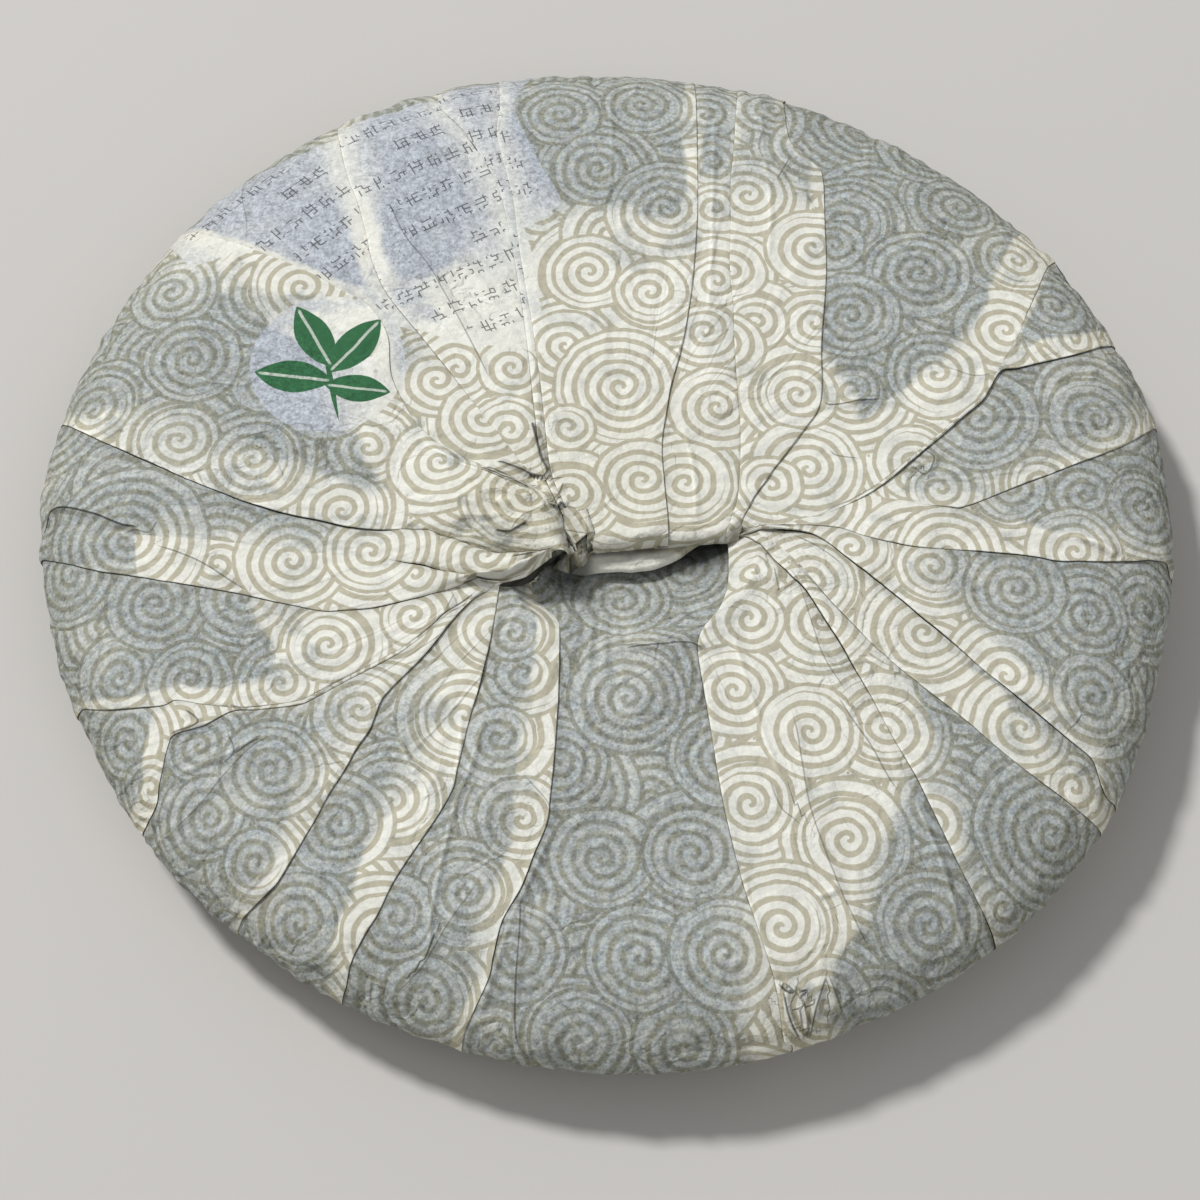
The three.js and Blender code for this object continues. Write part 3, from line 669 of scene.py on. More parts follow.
def pleatSheet(index, rows):
    near, far = pleats[index], pleats[(index + 1) % len(pleats)]
    a, b = rows[index], rows[(index + 1) % len(pleats)]
    printA, printB, drop = a, b, np.zeros(len(a))
    isBack = near["name"] in sheets["inFlap"]
    underFlap = near["name"] == "l10"
    if isBack:
        (a, b), (printA, printB), drop = rollOver(a, b)
    width = np.linalg.norm(a - b, axis=1)
    columnCount = max(int(width.max() / sheets["spacing"]), 8)

    # columns: mm from each edge, height as a share of the rise, painted shade of the gap
    nearOver, farOver = near["over"] == 1, far["over"] == -1
    tucked = [(-t, -0.08 - 0.1 * t, 0) for t in sheets["tuck"]]
    nearEdge = np.array(sheets["curl"] if nearOver else tucked)[::-1]
    farEdge = np.array(sheets["curl"] if farOver else tucked)
    mesh, column, row = gridMesh("sheet_" + near["name"], len(nearEdge) + columnCount + len(farEdge), len(a))
    widthAt = np.maximum(width[row], 0.05)
    shrink = np.clip(widthAt / 6, 0, 1)
    start, finish = 0.9 * shrink * nearOver, 0.9 * shrink * farOver
    inner = column - len(nearEdge)
    across = start + np.clip(inner / (columnCount - 1), 0, 1) * (widthAt - start - finish)
    isNear, isFar = inner < 0, inner >= columnCount
    nearPart = nearEdge[np.clip(column, 0, len(nearEdge) - 1)]
    farPart = farEdge[np.clip(inner - columnCount, 0, len(farEdge) - 1)]
    across = np.where(isNear, nearPart[:, 0] * shrink, across)
    across = np.where(isFar, widthAt - farPart[:, 0] * shrink, across)
    share = across / widthAt
    plan = between(a[row], b[row], share)
    roll = sheets["rolls"].get(near["name"], 0)
    rollHere = roll * smoothstep(-fromMiddle(plan), -40, -22)
    turned = 2 * np.clip(share, 0, 1) - 1
    printed = between(printA[row], printB[row], share + turned * turned ** 4 * 0.8 * rollHere / widthAt)
    x, y = printed.T
    run = fromMiddle(printed)
    level = np.interp(row, [0, 8, 30, len(a)], [0, 0.3, 1, 1])
    atGather = smoothstep(-run, -38, -22)

    # how strongly a pleat stands out along its length
    def strength(pleat):
        ripple = 0.85 + 0.5 * noise2(run / 11, run * 0 + pleat["path"][0][0], 9)
        ripple *= 0.62 + 0.38 * smoothstep(-run, -75, -35)
        begins, ends, left = pleat.get("flat", (1, 0, 1))
        return ripple * (left + (1 - left) * smoothstep(run, ends, begins))

    lift = np.zeros(len(across))
    paintedGapShade = np.zeros(len(across))
    paintedEdgeStrengths = []
    for pleat, over, part, isEdge, distance in ((near, nearOver, nearPart, isNear, across),
                                                (far, farOver, farPart, isFar, widthAt - across)):
        power = strength(pleat)
        line = pleat.get("line", 1) * (1 - atGather) + atGather
        paintedEdgeStrengths.append(power * pleat["rise"] * line)
        if over:
            fall = np.exp(-np.maximum(distance - 0.6, 0) / 8)
            lift += (pleat["rise"] * power * level + 0.03) * np.where(isEdge, part[:, 1], fall)
            paintedGapShade += isEdge * part[:, 2] * np.clip(power * 1.3 - 0.2, 0, 1) * line
        else:
            lift += np.where(isEdge, part[:, 1], 0)
    bulge = np.sin(math.pi * np.clip(share, 0, 1)) * level
    lift += 0.22 * bulge * np.clip(widthAt / 12, 0, 1)
    if roll:
        lift += rollHere * np.sqrt(1 - turned ** 2)
    elif not isBack:
        lift -= dimple(plan) + 0.8 * smoothstep(-run, -26, -16) * (not underFlap)
    lift += crumple(plan) * np.interp(row, [0, 14], [0, 1]) + crumple(plan, 20) * 0.35 * bulge
    for away, power in zip(*markCreases(mesh, printed)):
        lift += 0.3 * np.abs(power) * np.clip(1 - np.abs(away) / 1.6, 0, 1) * level
    if isBack:
        lift += 0.8 * spot(printed, 8.3, -5, 5, 5)
    setPlaces(mesh, overCake(plan, lift - drop[row]))

    # where the paper lies in several layers, from the pleats at both sides and the gather
    bands = [table(near[name], run) for name in ("bandOver", "bandUnder")]
    if farOver and not nearOver:
        bands.reverse()
    sides = np.maximum(bands[0] - across, bands[1] - (widthAt - across))
    markPoints(mesh, "doubled", np.maximum((near["tip"] - run) * 0.45, sides) * near.get("blend", 1))

    # painted shade: thin dark lines where this sheet goes under its neighbours and a soft painted shadow beside
    # them, painted shadow in the gap under its own folded edges, and a painted highlight along those edges
    isNearer = across < widthAt - across
    clear = np.clip(np.where(isNearer, *paintedEdgeStrengths) * 1.5, 0, 1) * np.where(np.where(isNearer, nearOver, farOver), -1, 1)
    # painted shade on the front of the flap, darker as its paper rolls under
    paintedGapShade = np.maximum(paintedGapShade, 0.34 * smoothstep(drop[row], 0.2, 4.2))
    # painted shadow of the flap and the twist on the dimple floor under them, darker towards the flap and to the
    # right
    if underFlap:
        paintedGapShade = np.maximum(paintedGapShade, 0.8 * smoothstep(y, -12.5, -6) + 0.25 * smoothstep(y, -18, -9))
        paintedGapShade = np.clip(paintedGapShade * (0.7 + 0.3 * smoothstep(x, 8, 16)), 0, 1)
        paintedGapShade = np.maximum(paintedGapShade, 0.8 * spot(printed, -6.5, -11.5, 14, 7))
    markPoints(mesh, "foldPaintedShading", np.maximum(np.minimum(across, widthAt - across), -0.2), clear, paintedGapShade)

    bare = -9, 0, 0
    if near["name"] in bareFields:
        field = bareFields[near["name"]]
        outline = fromView(field["outline"])
        away = np.abs(fromPath(printed, outline, closed=True)[0])
        turn = math.radians(field["slant"])
        bare = (np.where(insideOutline(printed, outline), 1, -1) * away, x * math.cos(turn) + y * math.sin(turn),
                y * math.cos(turn) - x * math.sin(turn) + field["start"])
    markPoints(mesh, "bare", *bare)
    small = [(x, y, r + pattern["widen"]) for x, y, r in near["discs"] if r < 9]
    printPattern(mesh, printed, [(0, 0, 900)] + fillDiscs(100 + index) + small + near["discs"], seamDiscs)
    return mesh


# dark is painted shade, kept in the gap channel of the fold shading
def plainValues(mesh, doubled, wrinkled, dark=0):
    markPoints(mesh, "doubled", doubled)
    markPoints(mesh, "foldPaintedShading", 9, 0, dark)
    markPoints(mesh, "bare", -9, 0, 0)
    markPoints(mesh, "creaseAway", 9, 9, 0)
    markPoints(mesh, "creaseShadeAndRelief", 0, 0, 0)
    markPoints(mesh, "pulled", 0, 0, 0)
    markPoints(mesh, "wrinkled", wrinkled)


underneath = {
    "around": 600,
    "rings": 125,
    "start": 109,               # it begins inside the lower edge of the pleated sheets
    "flatFrom": 166,            # and lies flat on the table from here inwards
}


def undersideMesh():
    around, rings = underneath["around"], underneath["rings"]
    mesh, column, row = gridMesh("underside", around + 1, rings + 1)
    angle = column / around * 2 * math.pi
    run = np.linspace(sectionEnd - 0.05, underneath["start"], rings + 1)[row]
    away = side(np.cos(angle), np.sin(angle))
    plan = away * run[:, None]
    lift = crumple(away * (sectionEnd - run)[:, None], 40) * 0.4
    lift = lift * smoothstep(-run, -underneath["flatFrom"], -150) * smoothstep(run, 111, 118)
    lift = np.where(run < 111, (run - 111) * 0.35, lift)
    setPlaces(mesh, overCake(plan, lift))
    plainValues(mesh, -5, 0.2)
    printPattern(mesh, plan, [], [(0, 0, 900)] + underDiscs + seamDiscs)
    bm = bmesh.new()
    bm.from_mesh(mesh)
    bmesh.ops.remove_doubles(bm, verts=bm.verts, dist=1e-7)
    bm.to_mesh(mesh)
    bm.free()
    return mesh


# The twisted end of the paper where the rolls meet the flap: flat folded faces over a rounded core painted dark as
# shade.
# Corners go anticlockwise: x and y as the camera sees them, height, and how much painted shade it has there
twist = {
    "faces": [
        [(-7.1, -3.8, 23.7, 0.15), (-3.1, -4.6, 23.7, 0.05), (-3.2, 0.4, 22.7, 0), (-7.5, 1.1, 22.7, 0.3)],
        [(-7.1, -3.8, 23.6, 0.1), (-5.2, -6.6, 23.1, 0.1), (-3.1, -4.6, 23.6, 0), (-3.1, -4.6, 23.6, 0)],
        [(-7.1, -3.8, 23.3, 0.75), (-4.5, -9.8, 21.1, 0.85), (-4.7, -8.8, 21.6, 0.2), (-5.2, -6.6, 23.1, 0.1)],
        [(-7.1, -3.8, 23.5, 0.7), (-6.3, -7.4, 21.6, 0.75), (-4.5, -9.8, 21.0, 0.85), (-5.2, -6.6, 22.9, 0.5)],
        [(-4.5, -9.8, 21.3, 0.3), (-3.3, -8.8, 21.0, 0.25), (-3.1, -4.7, 22.9, 0.6), (-5.2, -6.7, 22.8, 0.6)],
        [(-4.5, -9.8, 21.2, 0.3), (-3.7, -10.5, 20.3, 0.55), (-3.3, -8.8, 20.9, 0.3), (-3.3, -8.8, 20.9, 0.3)],
        [(-3.3, -8.8, 21.1, 0.6), (-1.1, -7.2, 20.9, 0.7), (-1.9, -4.2, 23.0, 0.15), (-3.1, -4.6, 23.6, 0.12)],
        [(-3.1, -4.6, 23.6, 0.12), (-1.9, -4.2, 23.0, 0.15), (-3.1, 0.4, 22.8, 0.3), (-3.3, 0.4, 22.8, 0.1)],
        [(-6.2, -12.6, 19.6, 0.45), (-3.7, -10.5, 20.3, 0.6), (-4.5, -9.8, 21.2, 0.3), (-6.2, -7.8, 21.6, 0.25)],
        [(-9.4, -11.4, 19.3, 0.3), (-6.2, -12.6, 19.6, 0.05), (-6.2, -7.8, 21.6, 0.1), (-7.8, -9.6, 20.6, 0.55)],
        [(-8.6, -6.8, 22.6, 0.1), (-6.4, -5.2, 23.0, 0.1), (-7.1, -3.0, 23.6, 0.1), (-8.0, -3.0, 23.3, 0.4)],
        [(-10.4, -10.9, 20.4, 0.5), (-6.1, -7.2, 22.2, 0.5), (-6.7, -5.6, 24.0, 0.1), (-10.8, -6.9, 23.8, 0)],
    ],
    "cells": 24,
    "camber": 0.22,
    "coreMiddle": (-4.6, -5.8, 20.2),
    "coreSize": (2.4, 5.2, 2.2),
}


def twistMeshes():
    slant = 1 / math.tan(math.radians(camera["elevation"]))
    meshes = []
    for number, corners in enumerate(twist["faces"]):
        mesh, column, row = gridMesh("twistFace%d" % number, twist["cells"], twist["cells"])
        u, v = column / (twist["cells"] - 1), row / (twist["cells"] - 1)
        weights = side((1 - u) * (1 - v), u * (1 - v), u * v, (1 - u) * v)
        x, y, z, dark = (weights @ np.array(corners, float)).T
        z = z + np.sin(math.pi * u) * np.sin(math.pi * v) * (twist["camber"] + 0.3 * noise2(x, y, 70 + number))
        toEdge = np.minimum(np.minimum(u, 1 - u), np.minimum(v, 1 - v))
        # painted shade: more on the lower faces and along the edges of every face
        dark = dark * 1.35 + 0.35 * smoothstep(-z, -22.8, -20.8) + 0.4 * smoothstep(-toEdge, -0.07, 0)
        y = y - (z - cake["tracePlane"]) * slant
        setPlaces(mesh, side(x, y, z) * mm)
        plainValues(mesh, 9, 1, np.clip(dark, 0, 1))
        printPattern(mesh, side(x + 38, y + 22), [(0, 1, 900)], [])
        meshes.append(mesh)
    bm = bmesh.new()
    bmesh.ops.create_icosphere(bm, subdivisions=5, radius=1)
    core = toMesh(bm, "twistCore")
    places = placesOf(core) * twist["coreSize"] + twist["coreMiddle"]
    setPlaces(core, places * mm)
    # the core is painted dark as shade between the faces
    plainValues(core, 9, 1, 0.6)
    printPattern(core, places[:, :2] + 30, [(0, 1, 900)], [])
    return meshes + [core]


# The second fold of paper that shows under the front edge of the flap
lip = {
    "edge": [(-8, -9.6, 16.6), (-4.2, -11.0, 16.8), (-2.2, -10.8, 17.2), (0.8, -10.5, 17.3), (6.2, -10.4, 17.4),
             (9, -9.9, 17.4), (11, -9.1, 17.3), (13, -7.7, 17.2), (15, -6.2, 17.2), (18, -4.4, 17.2)],
    "profile": [(6.5, 2.2), (4, 2.1), (2.4, 1.6), (1.2, 1.0), (0.3, 0.5), (0, 0.1), (0.15, -0.25), (0.8, -0.45),
                (2, -0.5), (4, -0.6)],       # back from the edge and up, mm
    "columns": 150,
    "rows": 40,
}


def lipMesh():
    profile = catmullRom(lip["profile"], lip["rows"])
    mesh, column, row = gridMesh("innerLip", lip["columns"], lip["rows"])
    x, y, height = catmullRom(lip["edge"], lip["columns"])[column].T
    back, up = profile[row].T
    y = y + back
    streaks = ridges(x / 9, back * 0.9, 61) * 0.45 + noise2(x / 4, back * 0.2, 62) * 0.25
    z = height + up + streaks * smoothstep(up, -0.1, 0.6)
    y = y + noise2(x / 3, x * 0, 63) * 0.2
    setPlaces(mesh, side(x, y, z) * mm)
    # painted shadow: darker further back under the flap, and towards the left end beside the twist
    dark = 0.3 * smoothstep(back, 0.6, 1.5) + 0.55 * smoothstep(back, 1.9, 2.9)
    plainValues(mesh, 7, 0.4, np.maximum(dark, 0.75 * smoothstep(-x, 0.5, 3.5)))
    printPattern(mesh, side(x * 0.03, y * 0.3 + 96.4), [(0, 1, 900)], [])
    return mesh


# Paper: colours of the white and the printed lines, over several layers and over one
paper = {
    "white": (0.835, 0.829, 0.752),
    "ink": (0.525, 0.494, 0.378),
    "whiteThin": (0.42, 0.447, 0.43),
    "inkThin": (0.243, 0.248, 0.197),
    "bareThin": (0.47, 0.50, 0.545),
    "handled": (0.80, 0.75, 0.63),
    "warmTint": (0.50, 0.47, 0.36),
    "coolTint": (0.40, 0.49, 0.62),
    "words": (0.035, 0.035, 0.04),
    "leaf": (0.035, 0.145, 0.06),
    "leafVein": (0.5, 0.56, 0.48),
    "pitch": 2.3,               # between the turns of a spiral, mm
    "roughness": 0.8,
    "specular": 0.25,
}

smallMarks = {"line": 6.2, "mark": 3.6}      # mm from line to line and from mark to mark

# A plain sprig of tea in the place of the printed mark: middle, half length, half width, turn
sprig = [
    {"at": (-52.6, 35.2), "size": (7.6, 3.2), "turn": 118},
    {"at": (-56.0, 26.8), "size": (7.2, 3.4), "turn": 172},
    {"at": (-45.2, 33.2), "size": (7.4, 3.3), "turn": 52},
    {"at": (-44.4, 24.2), "size": (6.0, 2.9), "turn": -8},
    {"at": (-49.2, 25.5), "size": (8.4, 0.5), "turn": 102},
]
sprigField = {"at": (-50, 29.5), "size": (14, 14.5)}


# What a node gives out, so that a finish can be written as sums
class Value:
    def __init__(self, tree, socket):
        self.tree = tree
        self.socket = socket

    def other(self, output):
        return Value(self.tree, self.socket.node.outputs[output])

    def __add__(self, more):
        return self.tree.math("ADD", self, more)

    def __radd__(self, more):
        return self.tree.math("ADD", more, self)

    def __sub__(self, less):
        return self.tree.math("SUBTRACT", self, less)

    def __rsub__(self, more):
        return self.tree.math("SUBTRACT", more, self)

    def __mul__(self, times):
        return self.tree.math("MULTIPLY", self, times)

    def __truediv__(self, by):
        return self.tree.math("DIVIDE", self, by)

    def __abs__(self):
        return self.tree.math("ABSOLUTE", self)


class Tree:
    def __init__(self, material):
        material.use_nodes = True
        self.tree = material.node_tree
        self.shader = self.tree.nodes["Principled BSDF"]

    def put(self, socket, value):
        if isinstance(value, Value):
            self.tree.links.new(value.socket, socket)
        elif isinstance(value, tuple) and socket.type == "RGBA":
            socket.default_value = (*value, 1)
        else:
            socket.default_value = value

    def node(self, kind, inputs, output=0, **settings):
        made = self.tree.nodes.new(kind)
        for key, value in settings.items():
            setattr(made, key, value)
        for key, value in inputs.items():
            self.put(made.inputs[key], value)
        return Value(self, made.outputs[output])

    def kindOf(self, value):
        kind = value.socket.type if isinstance(value, Value) else "RGBA" if isinstance(value, tuple) else "VALUE"
        return "FLOAT" if kind == "VALUE" else kind

    def math(self, operation, *values):
        flat = all(self.kindOf(value) == "FLOAT" for value in values)
        kind = "ShaderNodeMath" if flat else "ShaderNodeVectorMath"
        output = "Value" if operation == "LENGTH" else 0
        return self.node(kind, dict(enumerate(values)), output, operation=operation)

    def most(self, a, b):
        return self.math("MAXIMUM", a, b)

    def step(self, value, low, high):
        inputs = {"Value": value, "From Min": low, "From Max": high}
        return self.node("ShaderNodeMapRange", inputs, "Result", interpolation_type="SMOOTHSTEP")

    def split(self, value):
        x = self.node("ShaderNodeSeparateXYZ", {0: value})
        return x, x.other(1), x.other(2)

    def join(self, x, y, z):
        return self.node("ShaderNodeCombineXYZ", {0: x, 1: y, 2: z})

    def attribute(self, name, output="Vector"):
        return self.node("ShaderNodeAttribute", {}, output, attribute_name=name)

    def mix(self, factor, a, b, blend="MIX"):
        kind = self.kindOf(b)
        made = self.tree.nodes.new("ShaderNodeMix")
        made.data_type = kind
        made.blend_type = blend
        name = {"RGBA": "Color", "VECTOR": "Vector", "FLOAT": "Float"}[kind]
        sockets = {socket.identifier: socket for socket in made.inputs}
        self.put(sockets["Factor_Float"], factor)
        self.put(sockets["A_" + name], a)
        self.put(sockets["B_" + name], b)
        return Value(self, next(s for s in made.outputs if s.identifier == "Result_" + name))

    def noise(self, place, scale, detail=2, rough=0.5, output="Fac"):
        inputs = {"Vector": place, "Scale": scale, "Detail": detail, "Roughness": rough}
        return self.node("ShaderNodeTexNoise", inputs, output)

    def cells(self, place, scale):
        inputs = {"Vector": place, "Scale": scale}
        return self.node("ShaderNodeTexVoronoi", inputs, feature="DISTANCE_TO_EDGE")

    # a place as a share of a spot's half sizes, from its middle
    def within(self, place, at, size, turn=0):
        inputs = {"Vector": place, "Location": (at[0] * mm, at[1] * mm, 0),
                  "Rotation": (0, 0, math.radians(turn)), "Scale": (size[0] * mm, size[1] * mm, 1)}
        return self.node("ShaderNodeMapping", inputs, vector_type="TEXTURE")


def paperMaterial(name, printedTop):
    material = bpy.data.materials.new(name)
    t = Tree(material)
    place = t.node("ShaderNodeTexCoord", {}, "Object")
    # a little unsteadiness in the printed lines
    wobble = (t.noise(place, 190, 3, 0.55, "Color") - (0.5, 0.5, 0.5)) * (1.1, 1.1, 0)

    def disc(name):
        moved = t.attribute(name) + wobble
        return moved, t.math("LESS_THAN", t.math("LENGTH", moved * (1, 1, 0)), t.split(moved)[2])

    top, onTop = disc("discTop")
    middle, onMiddle = disc("discMiddle")
    low, _ = disc("discLow")
    local = t.mix(onTop, t.mix(onMiddle, low, middle), top)
    x, y, radius = t.split(local)
    distance = t.math("LENGTH", local * (1, 1, 0))

    # layers of paper: one lets the dark tea show through, several are nearly white
    doubled = t.attribute("doubled", "Fac")
    wander = (t.noise(place, 85, 3, 0.6) - 0.5) * 5
    leafShadow = t.noise(place, 760, 4, 0.7)
    softness = t.step(t.noise(place, 34, 1), 0.42, 0.62) * 5 + 0.6
    layers = t.step(doubled + wander, softness * -1, softness)
    pressed = t.step(t.noise(place, 84, 4, 0.65), 0.52, 0.64) * (leafShadow + 0.15)
    layers = layers * (1 - pressed * (1 - t.step(doubled, 2, 9) * 0.55))
    lifted = t.step(t.noise(place + (0.3, 0.1, 0.0), 48, 3, 0.6), 0.5, 0.75)
    layers = t.most(layers, lifted * 0.4)
    speckle = t.noise(place, 1700, 3, 0.75)

    # the spirals: each turn is a line and a space
    phase = distance * (1 / paper["pitch"]) - t.math("ARCTAN2", y, x) * (1 / (2 * math.pi)) + radius * 0.83
    phase = phase + (leafShadow - 0.5) * ((1 - layers) * 0.3)
    wave = t.math("PINGPONG", phase, 0.5)
    blur = t.mix(layers, 0.13, 0.045)
    line = t.step(wave, 0.275 - blur, blur + 0.275)
    depth = radius - distance
    line = t.most(line * t.step(depth, 1.45, 1.75), t.step(depth, 0.85, 0.6))

    thick = t.mix(line, paper["white"], paper["ink"])
    thin = t.mix(line, paper["whiteThin"], paper["inkThin"])
    tint = t.step(t.noise(place + (0.7, 0.2, 0.4), 640, 3, 0.6), 0.35, 0.65)
    thin = t.mix(0.16, thin, t.mix(tint, paper["warmTint"], paper["coolTint"]))
    if printedTop:
        bare, u, v = t.split(t.attribute("bare"))
        around = t.math("LENGTH", t.within(place, **sprigField) * (1, 1, 0))
        unprinted = t.most(t.step(bare + wander * 0.12, -0.15, 0.15), t.step(around, 1.01, 0.99))
        thin = t.mix(unprinted, thin, paper["bareThin"])
        thick = t.mix(unprinted, thick, paper["white"])
    colour = t.mix(layers, thin, thick)
    wrinkled = t.attribute("wrinkled", "Fac")
    colour = t.mix(wrinkled * 0.35, colour, t.mix(1, colour, paper["handled"], "MULTIPLY"))

    # leaves and fibres seen through the paper
    shade = (t.step(leafShadow, 0.36, 0.64) - 0.5) * t.mix(layers, 0.36, 0.1)
    shade = shade + (speckle - 0.5) * t.mix(layers, 1.7, 0.22) + (t.noise(place, 95, 3, 0.6) - 0.5) * 0.28 + 1
    # crumbs of tea that press through
    crumbs = t.node("ShaderNodeTexVoronoi", {"Vector": place, "Scale": 150}, "Distance")
    few = t.step(t.split(crumbs.other("Color"))[0], 0.72, 0.8)
    shade = shade - t.step(crumbs, 0.1, 0.04) * few * 0.3

    # painted shade and light: dark lines along the pleats and creases, painted shadow beside them and in the gaps
    # under folded edges, and painted highlights along folded edges and on creases that catch the light
    under, clear, paintedGapShade = t.split(t.attribute("foldPaintedShading"))
    strong = t.most(clear, 0)
    # painted highlight along the folded edges of the sheets on top
    shade = shade + t.step(under, 0.55, 0.1) * t.most(clear * -1, 0) * 0.16
    paintedSoftShadow = t.step(under, 2.6, 0) * strong * 0.22
    marks = t.most(t.step(under, 0.2, 0.06) * strong * 0.93, t.most(paintedSoftShadow, paintedGapShade * 0.9))
    away, power = t.split(t.attribute("creaseAway")), t.split(t.attribute("creaseShadeAndRelief"))
    relief = 0
    for size, strong in zip(away[:2], power[:2]):
        size = abs(size)
        dark = t.most(strong, 0)
        # painted shade line along the crease
        line = t.step(size, dark * 0.24 + 0.1, 0.05) * t.math("MINIMUM", dark, 1)
        marks = t.most(marks, line * 0.85)
        relief = relief + t.step(size, 1.3, 0) * abs(strong) * 0.4
        # painted highlight along creases with a negative strength
        shade = shade + t.step(size, 0.5, 0.1) * t.most(strong * -1, 0) * 0.25
    shade = shade * (1 - marks)

    if printedTop:
        # broken lines of small marks in the place of the print, nothing to read
        lines, alongLine = v / smallMarks["line"], u / smallMarks["mark"]
        lineNumber, column = t.math("FLOOR", lines), t.math("FLOOR", alongLine)
        height = (t.math("FRACT", lines) - 0.5) * smallMarks["line"]
        inMark = (t.math("FRACT", alongLine) - 0.5) * smallMarks["mark"]
        strokes = 0
        for across, along, seed in ((height, inMark, 11), (inMark, height, 23)):
            level = (across + 1.35) / 0.9
            stroke = t.step(abs(t.math("FRACT", level) - 0.5), 0.17, 0.11)
            cell = column * 3 + (t.math("FLOOR", level) * 7 + seed)
            where = t.join(cell, lineNumber, t.math("FLOOR", along / 0.9))
            drawn = t.node("ShaderNodeTexWhiteNoise", {"Vector": where}, "Value")
            strokes = t.most(strokes, stroke * t.math("GREATER_THAN", drawn, 0.5))
        inside = t.step(abs(height), 1.45, 1.35) * t.step(abs(inMark), 1.45, 1.35)
        words = t.step(t.noise(t.join(column, lineNumber * 4.7, 1.5), 0.3, 0), 0.43, 0.45)
        strokes = strokes * inside * words * t.step(bare, 2.2, 3.4)
        colour = t.mix(strokes * 0.75, colour, paper["words"])
        # the sprig
        leaf = 0
        vein = 0
        for part in sprig:
            a, b, _ = t.split(t.within(place + wobble * (mm * 0.4, mm * 0.4, 0), **part))
            body = 1 - a * a - abs(b)
            leaf = t.most(leaf, t.step(body, -0.03, 0.03))
            if part["size"][1] > 1:
                vein = t.most(vein, t.step(abs(b), 0.11, 0.06) * t.step(body, 0.1, 0.3))
        colour = t.mix(leaf, colour, t.mix(vein, paper["leaf"], paper["leafVein"]))
    grey = t.node("ShaderNodeCombineColor", {0: shade, 1: shade, 2: shade})
    t.put(t.shader.inputs["Base Color"], t.mix(1, colour, grey, "MULTIPLY"))
    t.shader.inputs["Roughness"].default_value = paper["roughness"]
    t.shader.inputs["Specular IOR Level"].default_value = paper["specular"]

    # crumples: sharp facets of two sizes, creases and fibres, in mm
    bent = place + wobble * (0.006, 0.006, 0.006)
    for scale, height, width in ((88, 2.2, 0.07), (215, 1.1, 0.14)):
        facets = t.cells(bent, scale)
        patches = t.step(t.noise(place + (scale, 0, 0), 38), 0.46, 0.66)
        amount = t.most(patches, wrinkled) * height
        relief = relief + facets * amount + t.step(facets, width, 0) * amount * 0.14
    # long creases that run from the gather to the rim
    pulled = t.attribute("pulled")
    crests = t.cells(pulled + t.noise(place, 60, 2, 0.5, "Color") * (0.5, 0.5, 0.5), 1)
    amount = t.step(t.noise(place + (0.2, 0.9, 0.0), 22, 1), 0.4, 0.6) * t.step(t.split(pulled)[2], 0.9, 1.7)
    relief = relief + crests * amount * 0.9 + t.step(crests, 0.09, 0) * amount * 0.22
    relief = relief + t.noise(place, 420, 4, 0.6) * 0.3 + speckle * 0.05
    bump = t.node("ShaderNodeBump", {"Height": relief, "Strength": 1, "Distance": mm})
    t.put(t.shader.inputs["Normal"], bump)
    return material


def addObject(name, data):
    made = bpy.data.objects.new(name, data)
    bpy.context.collection.objects.link(made)
    return made


def makePiece(name, meshes, material):
    objects = [addObject(mesh.name, mesh) for mesh in meshes]
    if len(objects) > 1:
        with bpy.context.temp_override(active_object=objects[0], selected_editable_objects=objects,
                                       selected_objects=objects):
            bpy.ops.object.join()
    piece = objects[0]
    piece.name = name
    piece.data.name = name
    piece.data.materials.clear()
    piece.data.materials.append(material)
    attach(piece, "root")
    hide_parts("wrapped_tea_cake")
    piece.data.calc_loop_triangles()
    print(name, len(piece.data.loop_triangles), "triangles")


def makeCamera():
    data = bpy.data.cameras.new("camera")
    eye = addObject("camera", data)
    elevation = math.radians(camera["elevation"])
    back = Vector((0, -math.cos(elevation), math.sin(elevation)))
    eye.location = (Vector(camera["target"]) + back * camera["distance"]) * 0.001
    eye.rotation_euler = back.to_track_quat("Z", "Y").to_euler()
    data.lens = camera["lens"]
    data.sensor_width = camera["sensor"]
    data.clip_start = 0.01
    bpy.context.scene.camera = eye


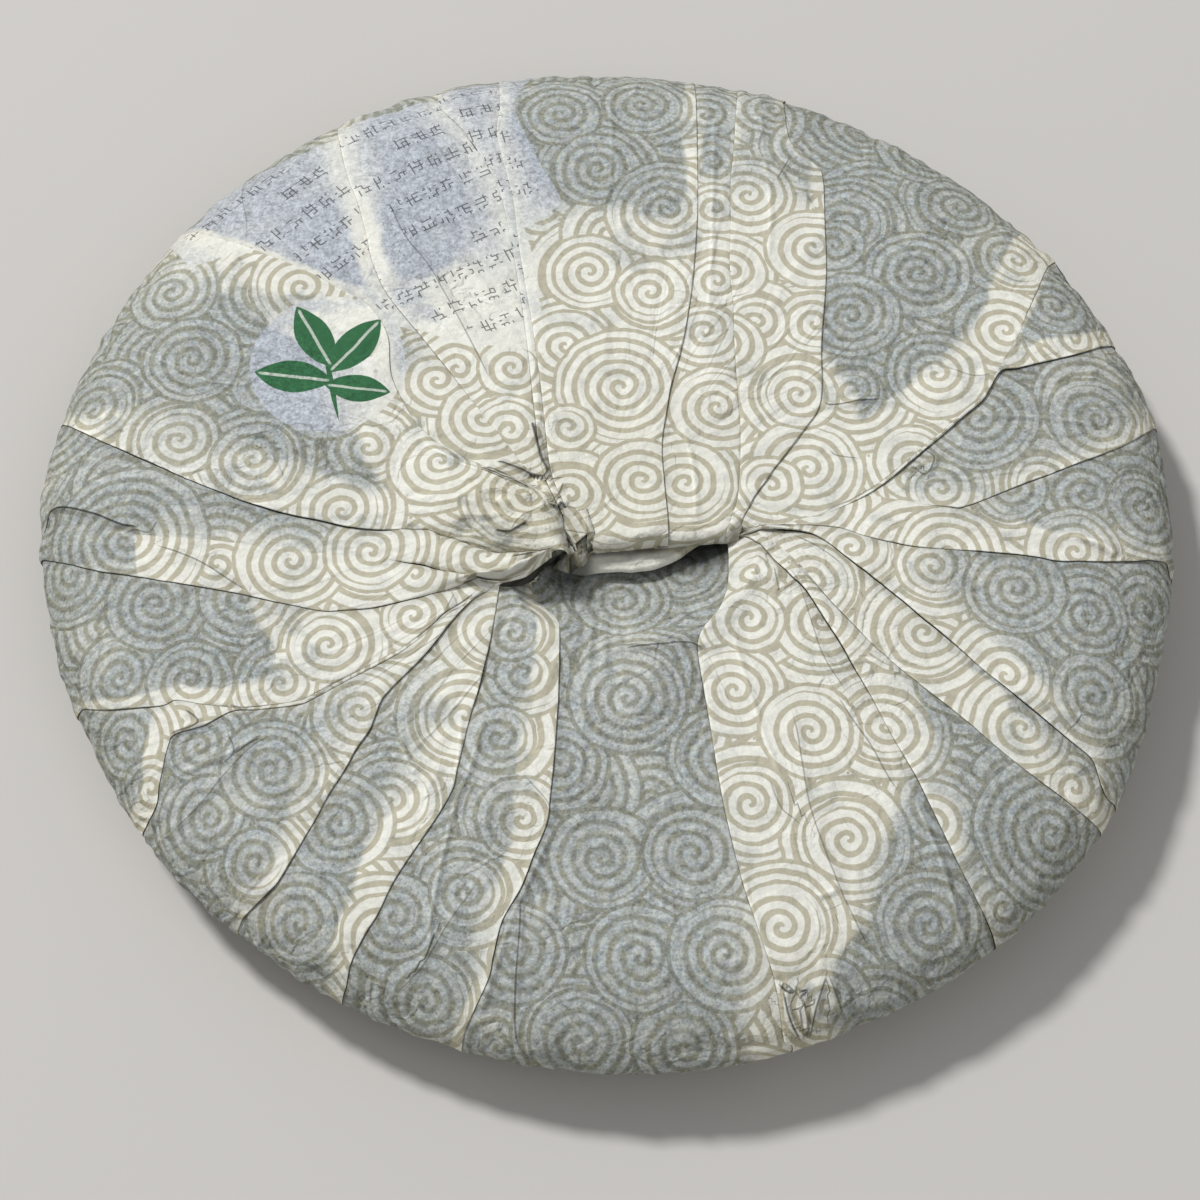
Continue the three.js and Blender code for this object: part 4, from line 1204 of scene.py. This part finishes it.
studio = {
    "floor": (0.62, 0.60, 0.57),
    "floorHalf": 3,
    "floorRoughness": 0.9,
    "sky": (0.96, 0.98, 1.0),
    "skyStrength": 0.31,
    "lights": [
        {"name": "keyLight", "at": (-1.55, 1.4, 2.5), "size": 0.5, "watts": 80},
        {"name": "fillLight", "at": (1.2, -1.6, 2.4), "size": 2.5, "watts": 10},
    ],
}


def makeStudio():
    bm = bmesh.new()
    bmesh.ops.create_grid(bm, x_segments=1, y_segments=1, size=studio["floorHalf"])
    floor = addObject("floor", toMesh(bm, "floor"))
    material = bpy.data.materials.new("paleFloor")
    look = Tree(material)
    look.put(look.shader.inputs["Base Color"], studio["floor"])
    look.shader.inputs["Roughness"].default_value = studio["floorRoughness"]
    floor.data.materials.append(material)

    world = bpy.data.worlds.new("world")
    world.use_nodes = True
    sky = world.node_tree.nodes["Background"]
    sky.inputs[0].default_value = (*studio["sky"], 1)
    sky.inputs[1].default_value = studio["skyStrength"]
    bpy.context.scene.world = world
    for lamp in studio["lights"]:
        data = bpy.data.lights.new(lamp["name"], "AREA")
        data.shape = "DISK"
        data.size = lamp["size"]
        data.energy = lamp["watts"]
        light = addObject(lamp["name"], data)
        light.location = lamp["at"]
        light.rotation_euler = Vector(lamp["at"]).to_track_quat("Z", "Y").to_euler()


bpy.context.scene.view_settings.view_transform = "Standard"
makeCamera()
makeStudio()
print("studio ready")

rows = [pleatRows(pleat) for pleat in pleats]
topPaper = paperMaterial("printedPaper", True)
plainPaper = paperMaterial("patternPaper", False)
print("paper ready")
pieces = {
    "pleatsRight": ("r6", "r7", "r8", "r9", "r10"),
    "pleatsBack": ("r11", "t1", "t3", "t2"),
    "pleatsTop": ("t5", "t6", "t7", "t10"),
    "pleatsLeft": ("l1", "l2", "l3", "l4"),
    "pleatsFront": ("l5", "l7", "l8", "l10"),
    "pleatsFrontRight": ("r1", "r5"),
}
for pieceName, members in pieces.items():
    meshes = [pleatSheet(i, rows) for i, pleat in enumerate(pleats) if pleat["name"] in members]
    makePiece(pieceName, meshes, topPaper)
makePiece("underside", [undersideMesh()], plainPaper)
makePiece("twist", twistMeshes(), plainPaper)
makePiece("innerLip", [lipMesh()], plainPaper)
